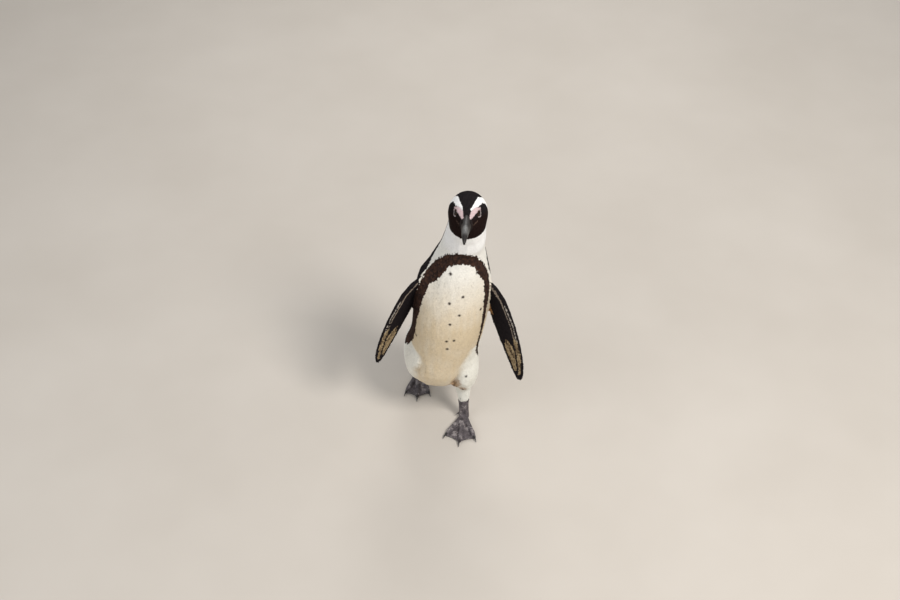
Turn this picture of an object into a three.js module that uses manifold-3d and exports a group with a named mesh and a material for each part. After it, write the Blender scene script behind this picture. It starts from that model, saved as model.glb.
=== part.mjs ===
// African penguin, life-size, walking: the left foot is forward and the right foot trails.
// Millimetres, +Z up. The bird faces -Y, so its left side is +X. The origin is under the middle
// of its bounding box, on the floor.
//
// The feathered body is one distance field: level sections for trunk and neck, and ellipsoids and
// cones for head, thighs, shanks, rump and shoulders, blended smoothly. Its surface is parted into
// head, neck, trunk and legs by thin cuts. Flippers, tail, bill, tarsi, toes and claws are lofts.

import * as THREE from "three";
import { mergeVertices } from "three/addons/utils/BufferGeometryUtils.js";
import Module from "manifold-3d";

const wasm = await Module();
wasm.setup();

const V = (x, y, z) => new THREE.Vector3(x, y, z);
const GAP = 0.3; // clearance kept between neighbouring solids
const SIDES = ["left", "right"];
const SHANK_GAP = 0.8; // clearance where a bare tarsus enters the feathers
const BODY_CELL = 14; // surface step on the trunk and neck
const LEG_CELL = 8; // surface step on the legs
const HEAD_CELL = 6.6; // surface step on the head

// ---------------------------------------------------------------- colours

const finish = (name, color, roughness) =>
  new THREE.MeshStandardMaterial({ name, color, roughness, metalness: 0 });
const BLACK_PLUMAGE = finish("black_plumage", 0x1d1818, 0.7);
const WHITE_PLUMAGE = finish("white_plumage", 0xe9e2d2, 0.75);
const FACE_PLUMAGE = finish("face_plumage", 0x241b19, 0.7);
const HORN = finish("horn", 0x2a2b2e, 0.4);
const FOOT_SKIN = finish("foot_skin", 0x2b2729, 0.55);
const EYE_GLOSS = finish("eye_gloss", 0x2a1710, 0.08);

// ---------------------------------------------------------------- body frame of the head

const HEAD_AT = V(28.6, -29.5, 491); // midway between the eyes
const HEAD_PITCH = THREE.MathUtils.degToRad(18); // bill raised
const HEAD_YAW = THREE.MathUtils.degToRad(-4); // bill turned to the bird's right

// A place on the head, from its reach forward, to the bird's left, and up.
const headTurn = new THREE.Matrix4()
  .makeRotationZ(HEAD_YAW)
  .multiply(new THREE.Matrix4().makeRotationX(-HEAD_PITCH));
const headFrame = new THREE.Matrix4().makeTranslation(HEAD_AT).multiply(headTurn);
const headBack = headFrame.clone().invert();
const onHead = (forward, left, up) => V(left, -forward, up).applyMatrix4(headFrame);

// ---------------------------------------------------------------- distance fields

const smoothJoin = (a, b, blend) => {
  const share = Math.max(blend - Math.abs(a - b), 0) / blend;
  return Math.min(a, b) - (share * share * blend) / 4;
};

const smoothCut = (d, cutter, blend) => -smoothJoin(-d, cutter, blend);

const ellipsoid = (at, rx, ry, rz) => (p) => {
  const x = p.x - at.x;
  const y = p.y - at.y;
  const z = p.z - at.z;
  const near = Math.hypot(x / rx, y / ry, z / rz);
  const slope = Math.hypot(x / (rx * rx), y / (ry * ry), z / (rz * rz));
  return slope < 1e-9 ? -Math.min(rx, ry, rz) : (near * (near - 1)) / slope;
};

// A cone with round ends, of radius ra at a and rb at b.
const roundCone = (a, b, ra, rb) => {
  const axis = b.clone().sub(a);
  const length2 = axis.lengthSq();
  return (p) => {
    const along = THREE.MathUtils.clamp(p.clone().sub(a).dot(axis) / length2, 0, 1);
    const middle = a.clone().addScaledVector(axis, along);
    return p.distanceTo(middle) - THREE.MathUtils.lerp(ra, rb, along);
  };
};

// A smooth curve through rows of numbers whose first column is the place along it.
function through(rows) {
  const slopeAt = rows.map((row, i) => {
    const before = rows[Math.max(i - 1, 0)];
    const after = rows[Math.min(i + 1, rows.length - 1)];
    return row.map((_, k) => (after[k] - before[k]) / (after[0] - before[0]));
  });
  return (place) => {
    const at = THREE.MathUtils.clamp(place, rows[0][0], rows[rows.length - 1][0]);
    let i = 0;
    while (i < rows.length - 2 && at > rows[i + 1][0]) i++;
    const span = rows[i + 1][0] - rows[i][0];
    const t = (at - rows[i][0]) / span;
    const h1 = (1 + 2 * t) * (1 - t) ** 2;
    const h2 = t * (1 - t) ** 2;
    const h3 = t * t * (3 - 2 * t);
    const h4 = t * t * (t - 1);
    const valueOf = (k) => {
      const bend = h2 * slopeAt[i][k] + h4 * slopeAt[i + 1][k];
      return h1 * rows[i][k] + h3 * rows[i + 1][k] + span * bend;
    };
    return rows[i].map((_, k) => valueOf(k)).slice(1);
  };
}

// ---------------------------------------------------------------- trunk and neck

// Level sections: height, middle x, middle y, half width, and reach to the front and to the back.
const SECTIONS = [
  [112, -17, 15, 57, 66, 57],
  [135, -16, 15, 63, 75, 60],
  [165, -12, 12, 65, 78, 60],
  [200, -5.5, 9, 64, 79, 59],
  [235, -1, 6, 65.5, 79, 58],
  [270, 2.5, 4, 66.5, 77, 56.5],
  [305, 6, 3, 63.5, 73, 54],
  [340, 11.5, 3, 56, 66, 49],
  [368, 16, 3, 48.5, 59, 43],
  [388, 19.5, 3, 41.5, 51, 38.5],
  [408, 23, 3, 36.5, 46, 35],
  [430, 26.5, 3, 33.5, 41, 31.5],
  [450, 29, 3, 31, 37, 28],
  [468, 30, 3, 27, 30, 22],
];
const SQUARENESS = 2.25; // power of the sections' outline, where 2 is an ellipse
const sectionAt = through(SECTIONS);
const LOW = SECTIONS[0][0];
const HIGH = SECTIONS[SECTIONS.length - 1][0];

function trunkAndNeck(p) {
  const level = THREE.MathUtils.clamp(p.z, LOW, HIGH);
  const [cx, cy, half, front, back] = sectionAt(level);
  const reach = p.y < cy ? front : back;
  const across = Math.abs((p.x - cx) / half) ** SQUARENESS;
  const along = Math.abs((p.y - cy) / reach) ** SQUARENESS;
  const round = ((across + along) ** (1 / SQUARENESS) - 1) * Math.min(half, reach);
  return p.z === level ? round : Math.hypot(Math.max(round, 0), p.z - level);
}

const belly = ellipsoid(V(-18, 11, 142), 61, 70, 58);
const rump = roundCone(V(-11, 36, 145), V(-5, 94, 95), 39, 15);

// ---------------------------------------------------------------- legs

const ANKLE = { left: V(25.2, -19, 48), right: V(-58.5, 92, 46) };
const TOE_ROOT = { left: V(26, -26, 7), right: V(-60, 90, 7) }; // where the three toes part
const HEADING = { left: -8, right: -2 }; // degrees that the middle toe turns to the bird's right
const SPREAD = { left: 1, right: 0.8 }; // how far the toes part, as a share of full

const thigh = {
  left: ellipsoid(V(26, -12, 124), 27, 44, 50),
  right: ellipsoid(V(-57, 14, 126), 25.5, 47, 46),
};
const shank = {
  left: roundCone(V(23, -13, 88), ANKLE.left, 18, 11),
  right: roundCone(V(-57, 42, 96), ANKLE.right, 22, 11),
};

// ---------------------------------------------------------------- shoulders and head

const shoulder = {
  left: ellipsoid(V(51, -8, 318), 16, 26, 34),
  right: ellipsoid(V(-40, -10, 322), 16, 26, 34),
};

// The left eyeball's middle (forward, left, up), the way it looks, and how far along that way
// the face lies. The face is hollowed round each eye.
const EYE = [2.5, 14, 1.5];
const EYE_LOOK = [0.5, 0.86, 0.1];
const EYE_RADIUS = 8;
const EYE_SET = 7;
const ORBIT_OUT = 10.6; // the lids' opening is cut by a ball this far out
const ORBIT_RADIUS = 7;
const HOLLOW_RADIUS = 12;

// The head's shapes, placed in its own frame: x to the bird's left, -y forward, z up.
const cranium = ellipsoid(V(0, 20, 1.5), 28.5, 37, 27.6);
const cheeks = [-1, 1].map((side) => ellipsoid(V(side * 8.5, 23, -10), 24, 26, 26));
const hollows = [-1, 1].map((side) => {
  const reach = EYE_SET + HOLLOW_RADIUS;
  const [forward, left, up] = EYE.map((place, i) => place + reach * EYE_LOOK[i]);
  return ellipsoid(V(side * left, -forward, up), HOLLOW_RADIUS, HOLLOW_RADIUS, HOLLOW_RADIUS);
});
const face = roundCone(V(0, -1, -4), V(0, -26, -8), 21.5, 11.5);
const chin = roundCone(V(0, -27, -15), V(0, 6, -25), 9.5, 22);
const throat = roundCone(V(0, 5, -25), V(0, 24, -54), 22, 29);

// How widely each shape blends into what it joins.
const HEAD_BLEND = { cheeks: 12, chin: 8, face: 14, throat: 16, hollows: 4 };
const BODY_BLEND = { belly: 20, rump: 26, shank: 9, leg: 8, shoulder: 18, head: 14 };

function head(world) {
  const p = world.clone().applyMatrix4(headBack);
  const back = smoothJoin(cranium(p), Math.min(cheeks[0](p), cheeks[1](p)), HEAD_BLEND.cheeks);
  const front = smoothJoin(face(p), chin(p), HEAD_BLEND.chin);
  const skull = smoothJoin(back, front, HEAD_BLEND.face);
  const whole = smoothJoin(skull, throat(p), HEAD_BLEND.throat);
  return smoothCut(whole, Math.min(hollows[0](p), hollows[1](p)), HEAD_BLEND.hollows);
}

function feathered(p) {
  let d = smoothJoin(trunkAndNeck(p), belly(p), BODY_BLEND.belly);
  d = smoothJoin(d, rump(p), BODY_BLEND.rump);
  for (const side of SIDES) {
    const leg = smoothJoin(thigh[side](p), shank[side](p), BODY_BLEND.shank);
    d = smoothJoin(d, leg, BODY_BLEND.leg);
    d = smoothJoin(d, shoulder[side](p), BODY_BLEND.shoulder);
  }
  return smoothJoin(d, head(p), BODY_BLEND.head);
}

// ---------------------------------------------------------------- surfaces and solids

// The surface of a field inside a box, as a solid: one vertex in each cell that the surface
// crosses, settled onto the surface, and a quad round each crossed edge of the grid.
function surfaceOf(shape, low, high, cell) {
  const rim = 1.5 * cell; // the solid ends inside the box, by this much
  const field = (p) =>
    Math.max(
      shape(p),
      Math.max(low.x - p.x, p.x - high.x, low.y - p.y, p.y - high.y, low.z - p.z, p.z - high.z) + rim,
    );
  const counts = high.clone().sub(low).divideScalar(cell).ceil().addScalar(1);
  const [nx, ny, nz] = counts.toArray();
  const index = (i, j, k) => (k * ny + j) * nx + i;
  const value = new Float64Array(nx * ny * nz);
  const corner = (i, j, k) => V(low.x + i * cell, low.y + j * cell, low.z + k * cell);
  for (let k = 0; k < nz; k++)
    for (let j = 0; j < ny; j++)
      for (let i = 0; i < nx; i++) value[index(i, j, k)] = field(corner(i, j, k));

  const points = [];
  const vertexOf = new Map();
  const settle = (p) => {
    const h = 0.5; // step over which the slope is measured
    for (let step = 0; step < 3; step++) {
      const here = field(p);
      const slope = V(
        field(V(p.x + h, p.y, p.z)) - field(V(p.x - h, p.y, p.z)),
        field(V(p.x, p.y + h, p.z)) - field(V(p.x, p.y - h, p.z)),
        field(V(p.x, p.y, p.z + h)) - field(V(p.x, p.y, p.z - h)),
      ).divideScalar(2 * h);
      p.addScaledVector(slope, -here / Math.max(slope.lengthSq(), 0.05));
    }
    return p;
  };
  const EDGES = [];
  for (let a = 0; a < 8; a++)
    for (const bit of [1, 2, 4]) if (!(a & bit)) EDGES.push([a, a | bit]);
  const vertex = (i, j, k) => {
    const key = index(i, j, k);
    if (vertexOf.has(key)) return vertexOf.get(key);
    const sum = V(0, 0, 0);
    let crossings = 0;
    for (const [a, b] of EDGES) {
      const [ai, aj, ak] = [i + (a & 1), j + ((a >> 1) & 1), k + (a >> 2)];
      const [bi, bj, bk] = [i + (b & 1), j + ((b >> 1) & 1), k + (b >> 2)];
      const va = value[index(ai, aj, ak)];
      const vb = value[index(bi, bj, bk)];
      if (va < 0 === vb < 0) continue;
      sum.add(corner(ai, aj, ak).lerp(corner(bi, bj, bk), va / (va - vb)));
      crossings++;
    }
    const start = sum.divideScalar(crossings);
    const settled = settle(start.clone());
    points.push(settled.distanceTo(start) < cell / 2 ? settled : start);
    vertexOf.set(key, points.length - 1);
    return points.length - 1;
  };

  const triangles = [];
  const quad = (a, b, c, d) => {
    const shortAC = points[a].distanceTo(points[c]) < points[b].distanceTo(points[d]);
    if (shortAC) triangles.push(a, b, c, a, c, d);
    else triangles.push(b, c, d, b, d, a);
  };
  for (let k = 1; k < nz - 1; k++)
    for (let j = 1; j < ny - 1; j++)
      for (let i = 1; i < nx - 1; i++) {
        const inside = value[index(i, j, k)] < 0;
        const around = {
          x: () => [vertex(i, j - 1, k - 1), vertex(i, j, k - 1), vertex(i, j, k), vertex(i, j - 1, k)],
          y: () => [vertex(i - 1, j, k - 1), vertex(i - 1, j, k), vertex(i, j, k), vertex(i, j, k - 1)],
          z: () => [vertex(i - 1, j - 1, k), vertex(i, j - 1, k), vertex(i, j, k), vertex(i - 1, j, k)],
        };
        const next = { x: index(i + 1, j, k), y: index(i, j + 1, k), z: index(i, j, k + 1) };
        for (const axis of ["x", "y", "z"]) {
          if (inside === value[next[axis]] < 0) continue;
          const [a, b, c, d] = around[axis]();
          if (inside) quad(a, b, c, d);
          else quad(d, c, b, a);
        }
      }
  return new wasm.Manifold(
    new wasm.Mesh({
      numProp: 3,
      vertProperties: new Float32Array(points.flatMap((p) => p.toArray())),
      triVerts: new Uint32Array(triangles),
    }),
  );
}

// A three.js geometry as a solid.
function solidOf(geometry) {
  const bare = geometry.clone();
  bare.deleteAttribute("normal");
  bare.deleteAttribute("uv");
  const merged = mergeVertices(bare, 1e-4);
  return new wasm.Manifold(
    new wasm.Mesh({
      numProp: 3,
      vertProperties: new Float32Array(merged.attributes.position.array),
      triVerts: new Uint32Array(merged.index.array),
    }),
  );
}

// A solid's largest piece as a three.js geometry.
function geometryOf(solid) {
  const pieces = solid.decompose().sort((a, b) => b.volume() - a.volume());
  const mesh = pieces[0].getMesh();
  const geometry = new THREE.BufferGeometry();
  geometry.setAttribute("position", new THREE.BufferAttribute(new Float32Array(mesh.vertProperties), 3));
  geometry.setIndex(new THREE.BufferAttribute(new Uint32Array(mesh.triVerts), 1));
  geometry.computeVertexNormals();
  return geometry;
}

// A closed solid through rings of points, all with the same count and all turning the same way.
function loft(rings) {
  const count = rings[0].length;
  const points = rings.flat().flatMap((p) => p.toArray());
  const triangles = [];
  for (let i = 0; i + 1 < rings.length; i++)
    for (let j = 0; j < count; j++) {
      const a = i * count + j;
      const b = i * count + ((j + 1) % count);
      triangles.push(a, b, b + count, a, b + count, a + count);
    }
  for (const [ring, forward] of [
    [0, false],
    [rings.length - 1, true],
  ]) {
    const middle = rings[ring].reduce((sum, p) => sum.add(p), V(0, 0, 0)).divideScalar(count);
    const centre = points.length / 3;
    points.push(...middle.toArray());
    for (let j = 0; j < count; j++) {
      const a = ring * count + j;
      const b = ring * count + ((j + 1) % count);
      triangles.push(...(forward ? [centre, a, b] : [centre, b, a]));
    }
  }
  const made = new wasm.Manifold(
    new wasm.Mesh({
      numProp: 3,
      vertProperties: new Float32Array(points),
      triVerts: new Uint32Array(triangles),
    }),
  );
  if (made.volume() > 0) return made;
  return loft(rings.map((ring) => [...ring].reverse()));
}

// A ring of points round a middle: half width along one direction, half depth along another.
function oval(middle, widthWay, halfWidth, depthWay, halfDepth, sides, shape = () => 1) {
  return Array.from({ length: sides }, (_, j) => {
    const turn = (j / sides) * 2 * Math.PI;
    const across = Math.cos(turn);
    const deep = Math.sin(turn) * shape(across);
    return middle
      .clone()
      .addScaledVector(widthWay, across * halfWidth)
      .addScaledVector(depthWay, deep * halfDepth);
  });
}

// A box of the given size, with its lowest face's middle at a point and its z along a direction.
function slab(at, way, width, depth, height) {
  const turn = new THREE.Quaternion().setFromUnitVectors(V(0, 0, 1), way.clone().normalize());
  const box = new THREE.BoxGeometry(width, depth, height);
  box.translate(0, 0, height / 2);
  box.applyQuaternion(turn);
  box.translate(at.x, at.y, at.z);
  return solidOf(box);
}

// ---------------------------------------------------------------- feathered solids and their cuts

// The boxes that each surface is sought in.
const BODY_LOW = V(-118, -95, 20);
const BODY_HIGH = V(108, 140, 500);
const LEGS_LOW = V(-110, -80, 10);
const LEGS_HIGH = V(80, 130, 140);
const HEAD_LOW = V(-20, -95, 425);
const HEAD_HIGH = V(80, 60, 545);
const body = surfaceOf(feathered, BODY_LOW, BODY_HIGH, BODY_CELL);
const bodyAndGap = surfaceOf((p) => feathered(p) - GAP, BODY_LOW, BODY_HIGH, BODY_CELL);
const legs = surfaceOf(feathered, LEGS_LOW, LEGS_HIGH, LEG_CELL);
const legsAndGap = surfaceOf((p) => feathered(p) - SHANK_GAP, LEGS_LOW, LEGS_HIGH, LEG_CELL);
const headSkin = surfaceOf(feathered, HEAD_LOW, HEAD_HIGH, HEAD_CELL);
const headAndGap = surfaceOf((p) => feathered(p) - GAP, HEAD_LOW, HEAD_HIGH, HEAD_CELL);

// Where the parts meet: a place on the cut, and the way out of the trunk.
const cuts = {
  head: { at: V(29, 0, 453), way: V(0, -0.2, 1) },
  neck: { at: V(20, 0, 392), way: V(0, -0.1, 1) },
  leg_left: { at: V(30, -20, 94), way: V(0.22, -0.2, -1) },
  leg_right: { at: V(-57, 40, 93), way: V(-0.3, 0.2, -1) },
  tail: { at: V(-5, 88, 102), way: V(0, 0.62, -0.78) },
};
// Width, depth and height of what lies beyond a cut, where it isn't the whole bird.
const BLOCK = { leg_left: [68, 130, 110], leg_right: [64, 190, 110], tail: [60, 90, 100] };
const WHOLE_BLOCK = [300, 300, 400];

function beyond(name, clearance) {
  const { at, way } = cuts[name];
  const shifted = at.clone().addScaledVector(way.clone().normalize(), clearance);
  const [width, depth, height] = BLOCK[name] ?? WHOLE_BLOCK;
  const spread = 2 * clearance;
  return slab(shifted, way, width - spread, depth - spread, height);
}

const half = GAP / 2;
const aboveHeadCut = beyond("head", half);
const trunkAndLegs = body.subtract(beyond("neck", -half));
const neck = body.intersect(beyond("neck", half)).subtract(beyond("head", -half));
const trunk = ["leg_left", "leg_right", "tail"].reduce(
  (solid, name) => solid.subtract(beyond(name, -half)),
  trunkAndLegs,
);
const legOf = (side) => legs.intersect(beyond(`leg_${side}`, half)).subtract(beyond("tail", -half));

// ---------------------------------------------------------------- eyes

const eyeAt = { left: onHead(...EYE), right: onHead(EYE[0], -EYE[1], EYE[2]) };
const BALL_FACETS = [12, 9]; // round and down
const ballAt = (at, radius) => {
  const ball = new THREE.SphereGeometry(radius, ...BALL_FACETS);
  ball.translate(at.x, at.y, at.z);
  return solidOf(ball);
};
const eyeball = (side, radius) => ballAt(eyeAt[side], radius);
// The round opening of the lids, sunk into the face in front of the eyeball.
const orbit = (side) => {
  const [forward, left, up] = EYE.map((place, i) => place + ORBIT_OUT * EYE_LOOK[i]);
  return ballAt(onHead(forward, side === "left" ? left : -left, up), ORBIT_RADIUS);
};
const headSolid = SIDES.reduce(
  (solid, side) => solid.subtract(eyeball(side, EYE_RADIUS + GAP)).subtract(orbit(side)),
  headSkin.intersect(aboveHeadCut),
);

// ---------------------------------------------------------------- bill

// Sections along the bill: reach forward, top, edge where the halves meet, and half width.
const UPPER_BILL = [
  [14, 7.5, -14.5, 10],
  [26, 5.2, -14, 8.8],
  [38, 2.6, -13.4, 7.4],
  [50, 0.2, -13, 6.5],
  [60, -2.6, -13, 5.9],
  [70, -6.8, -14, 5],
  [78, -12, -16.8, 3.6],
  [82.5, -16.5, -20.5, 2.3],
  [84.5, -20.5, -23.2, 0.9],
];
const LOWER_BILL = [
  [16, -14.5, -26.5, 8.6],
  [28, -14, -25.8, 7.4],
  [40, -13.4, -25, 6.3],
  [52, -13, -24, 5.5],
  [62, -13, -22.4, 4.8],
  [70, -14, -19.8, 3.6],
  [75.5, -15.8, -18.2, 1.8],
];
const RIDGE = 9; // points over the arched side of a section
const ARCH = { upper: 0.85, lower: 0.75 }; // power of the arch, where 1 is half an ellipse
function billHalf(rows, flat, arch) {
  const rings = rows.map(([forward, high, low, halfWidth]) => {
    const edge = flat === "low" ? low + half : high - half;
    const crown = flat === "low" ? high : low;
    const ring = [];
    for (let j = 0; j < RIDGE; j++) {
      const turn = (j / (RIDGE - 1)) * Math.PI;
      const left = halfWidth * Math.cos(turn);
      ring.push(onHead(forward, left, edge + (crown - edge) * Math.sin(turn) ** arch));
    }
    ring.push(onHead(forward, 0, edge));
    return ring;
  });
  return loft(rings).subtract(headAndGap);
}
const billUpper = billHalf(UPPER_BILL, "low", ARCH.upper);
const billLower = billHalf(LOWER_BILL, "high", ARCH.lower);

// ---------------------------------------------------------------- flippers

const FLIPPER_LENGTH = 205;
const FLIPPER_ROOT = { left: V(66.6, -9.5, 335.3), right: V(-51.4, -12.4, 344.1) };
// Directions down the flipper and towards its leading edge.
const FLIPPER_SPAN = { left: V(0.31, -0.33, -0.89), right: V(-0.41, -0.13, -0.9) };
const FLIPPER_LEAD = { left: V(0.68, -0.58, 0.45), right: V(-0.64, -0.66, 0.39) };
const FLIPPER_CURL = 4; // how far the tip bends towards the body
// Share of the length, reach to the leading and to the trailing edge, and greatest thickness.
const FLIPPER_PLAN = [
  [-0.06, 6, -8, 14],
  [0.02, 14, -16, 16],
  [0.11, 19, -22.5, 15],
  [0.22, 22.5, -27, 13],
  [0.34, 25.4, -27.4, 11.5],
  [0.48, 26.4, -26.6, 10],
  [0.62, 25, -24.2, 8.6],
  [0.75, 21.2, -21.4, 7.4],
  [0.86, 15.6, -18.6, 6.3],
  [0.94, 8.8, -15.8, 5.2],
  [0.985, 2.2, -12.4, 3.8],
  [1, -2.5, -9, 2.2],
];
const FLIPPER_SIDES = 12;
const FLIPPER_TUCK = 16; // how far the root is drawn in under the shoulder
const TUCK_ENDS = 0.16; // share of the length at which the flipper stands clear

function flipper(side) {
  const span = FLIPPER_SPAN[side].clone().normalize();
  const lead = FLIPPER_LEAD[side].clone();
  lead.addScaledVector(span, -lead.dot(span)).normalize();
  const inward = V().crossVectors(span, lead).multiplyScalar(side === "left" ? 1 : -1);
  const rings = FLIPPER_PLAN.map(([share, leading, trailing, thick]) => {
    const bend = FLIPPER_CURL * Math.max(share, 0) ** 2;
    const tuck = FLIPPER_TUCK * Math.max(1 - share / TUCK_ENDS, 0) * (side === "left" ? -1 : 1);
    const middle = FLIPPER_ROOT[side]
      .clone()
      .addScaledVector(span, share * FLIPPER_LENGTH)
      .addScaledVector(lead, (leading + trailing) / 2)
      .addScaledVector(inward, bend)
      .add(V(tuck, 0, 0));
    // Thicker towards the leading edge, thin at the trailing edge.
    const taper = (across) => 0.72 + 0.28 * across;
    return oval(middle, lead, (leading - trailing) / 2, inward, thick / 2, FLIPPER_SIDES, taper);
  });
  return loft(rings).subtract(bodyAndGap);
}

// ---------------------------------------------------------------- tail

const TAIL_ROOT = V(-6, 90, 108);
const TAIL_WAY = V(0.05, 0.62, -0.78).normalize();
// Distance from the root, half width and thickness.
const TAIL_PLAN = [
  [-8, 17, 22],
  [12, 21.5, 22],
  [30, 24.5, 16],
  [48, 25, 10.5],
  [64, 23, 7],
  [78, 16, 5],
  [87, 7.5, 3.6],
];
const TAIL_SIDES = 14;
const tailRings = TAIL_PLAN.map(([along, halfWidth, thick]) => {
  const middle = TAIL_ROOT.clone().addScaledVector(TAIL_WAY, along);
  const upward = V().crossVectors(V(1, 0, 0), TAIL_WAY).normalize();
  return oval(middle, V(1, 0, 0), halfWidth, upward, thick / 2, TAIL_SIDES);
});
// The tail feathers, joined to the end of the rump that they grow from.
const tail = loft(tailRings).add(legs).intersect(beyond("tail", half));

// ---------------------------------------------------------------- legs and feet

const SOLE = 0; // floor level
const TOES = [
  { name: "inner", turn: -27, reach: 62, claw: 10 },
  { name: "middle", turn: 0, reach: 69, claw: 12 },
  { name: "outer", turn: 27, reach: 62, claw: 10 },
];
const TOE_RADIUS = [6.5, 5.8, 5, 5.3, 4.4]; // from root to tip, swelling at the joint
const WEB_FULLNESS = 0.46; // how far out the web's hollow edge reaches
const WEB_REACH = 0.97; // share of a toe's reach that the web runs to
const WEB_HEEL = 8; // how far the web runs back under the pad
const WEB_THICK = 1.8;
const WEB_LEVEL = 2.2; // underside of the web
const PAD_LENGTH = 10;
const PAD_WIDTH = 10;
const PAD_DEPTH = 8;
const PAD_LIFT = 4.5;
const TARSUS_RADIUS = [11, 10, 9, 9.2, 10]; // from ankle to toe root
const TARSUS_DEPTH = 0.8; // its depth as a share of its width
const TARSUS_HIDDEN = 0.45; // share of its length that runs up inside the feathers
const TARSUS_CUT = 8; // how far above the toes' root the tarsus ends
const TOE_RINGS = 6;
const TOE_SIDES = 7;
const TOE_END = 0.7; // the last ring's share of the toe's radius
const TOE_SINK = 3; // how far a toe starts inside the pad
const TOE_LIFT = 0.82; // a toe's middle above the floor, as a share of its radius
const CLAW_RINGS = 5;
const CLAW_ROOT = 2.7; // radius of a claw at its root
const CLAW_POINT = 0.5; // and at its point
const CLAW_SINK = 6.5; // how far a claw starts inside its toe
const CLAW_LEVEL = 4.2; // its root's middle above the floor
const CLAW_ARCH = 1.2;
const CLAW_DROP = 3.4;

// A value between the numbers of a list, at a share of the way along it.
function alongList(list, share) {
  const at = THREE.MathUtils.clamp(share, 0, 1) * (list.length - 1);
  const low = Math.min(Math.floor(at), list.length - 2);
  return THREE.MathUtils.lerp(list[low], list[low + 1], at - low);
}

// The way along a toe, on the floor.
function toeWay(side, turn) {
  const inwards = side === "left" ? -1 : 1;
  const heading = THREE.MathUtils.degToRad(HEADING[side] - SPREAD[side] * turn * inwards);
  return V(Math.sin(heading), -Math.cos(heading), 0);
}

function toe(side, { turn, reach }) {
  const way = toeWay(side, turn);
  const across = V(way.y, -way.x, 0);
  const rings = Array.from({ length: TOE_RINGS }, (_, i) => {
    const share = i / (TOE_RINGS - 1);
    const radius = alongList(TOE_RADIUS, share) * (share < 1 ? 1 : TOE_END);
    const middle = TOE_ROOT[side].clone().addScaledVector(way, share * reach - TOE_SINK);
    middle.z = SOLE + radius * TOE_LIFT;
    return oval(middle, across, radius, V(0, 0, 1), radius, TOE_SIDES);
  });
  return loft(rings);
}

// A claw curves down from its toe's tip to a point on the floor.
function claw(side, { turn, reach, claw: length }) {
  const way = toeWay(side, turn);
  const across = V(way.y, -way.x, 0);
  const rings = Array.from({ length: CLAW_RINGS }, (_, i) => {
    const share = i / (CLAW_RINGS - 1);
    const radius = THREE.MathUtils.lerp(CLAW_ROOT, CLAW_POINT, share ** 1.2);
    const along = reach - CLAW_SINK + share * (length + 3);
    const middle = TOE_ROOT[side].clone().addScaledVector(way, along);
    middle.z = SOLE + CLAW_LEVEL + CLAW_ARCH * Math.sin(share * Math.PI) - CLAW_DROP * share ** 2;
    return oval(middle, across, radius * 0.85, V(0, 0, 1), radius, 6);
  });
  return loft(rings);
}

// The web, drawn on the floor between the toes, with a hollow edge from toe to toe.
function web(side) {
  const shape = new THREE.Shape();
  const reachOf = (t, share) => toeWay(side, t.turn).multiplyScalar(t.reach * share);
  const heel = toeWay(side, 0).multiplyScalar(-WEB_HEEL);
  shape.moveTo(heel.x, heel.y);
  let last = null;
  for (const t of TOES) {
    const tip = reachOf(t, WEB_REACH);
    if (last) {
      const hollow = last.clone().add(tip).multiplyScalar(WEB_FULLNESS);
      shape.quadraticCurveTo(hollow.x, hollow.y, tip.x, tip.y);
    } else shape.lineTo(tip.x, tip.y);
    last = tip;
  }
  const options = { depth: WEB_THICK, bevelEnabled: false, curveSegments: 4 };
  const plate = new THREE.ExtrudeGeometry(shape, options);
  plate.translate(TOE_ROOT[side].x, TOE_ROOT[side].y, SOLE + WEB_LEVEL);
  return solidOf(plate);
}

function tarsusLoft(side) {
  const from = ANKLE[side];
  const to = TOE_ROOT[side];
  const axis = to.clone().sub(from);
  const across = V(1, 0, 0);
  const forward = V().crossVectors(across, axis).normalize();
  const steps = 6;
  const rings = Array.from({ length: steps }, (_, i) => {
    const share = THREE.MathUtils.lerp(-TARSUS_HIDDEN, 1, i / (steps - 1));
    const radius = alongList(TARSUS_RADIUS, share);
    const middle = from.clone().addScaledVector(axis, share);
    return oval(middle, across, radius, forward, radius * TARSUS_DEPTH, 10);
  });
  return loft(rings);
}

// The small hind toe, on the inner side of the foot.
function hindToe(side) {
  const inner = side === "left" ? -1 : 1;
  const root = TOE_ROOT[side].clone().add(V(inner * 4, 6, 4));
  const tip = root.clone().add(V(inner * 12, -7, -3.6));
  const rings = [0, 0.35, 0.7, 1].map((share) => {
    const radius = THREE.MathUtils.lerp(3.4, 1.2, share);
    return oval(root.clone().lerp(tip, share), V(0.5, 0.86, 0), radius, V(0, 0, 1), 0.9 * radius, 8);
  });
  return loft(rings);
}

// The pad under the root of the toes, which the bird stands on with its toes.
function pad(side) {
  const way = toeWay(side, 0);
  const across = V(way.y, -way.x, 0);
  const rings = [-1, -0.8, -0.3, 0.3, 0.8, 1].map((share) => {
    const middle = TOE_ROOT[side].clone().addScaledVector(way, share * PAD_LENGTH - 1);
    middle.z = SOLE + PAD_LIFT;
    const round = Math.sqrt(1.06 - share ** 2);
    return oval(middle, across, PAD_WIDTH * round, V(0, 0, 1), PAD_DEPTH * round, 8);
  });
  return loft(rings);
}

const FLOOR_SIZE = [600, 600, 60];
const floorBlock = slab(V(0, 0, SOLE), V(0, 0, -1), ...FLOOR_SIZE);
const TARSUS_SPACE = [46, 46, 60]; // room for a tarsus above its cut
// What lies above the cut between tarsus and foot, which is square to the tarsus.
function tarsusBlock(side, clearance) {
  const axis = TOE_ROOT[side].clone().sub(ANKLE[side]).normalize();
  const at = TOE_ROOT[side].clone().addScaledVector(axis, clearance - TARSUS_CUT);
  return slab(at, axis.negate(), ...TARSUS_SPACE);
}

function tarsus(side) {
  return tarsusLoft(side).intersect(tarsusBlock(side, -half)).subtract(legsAndGap);
}

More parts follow.
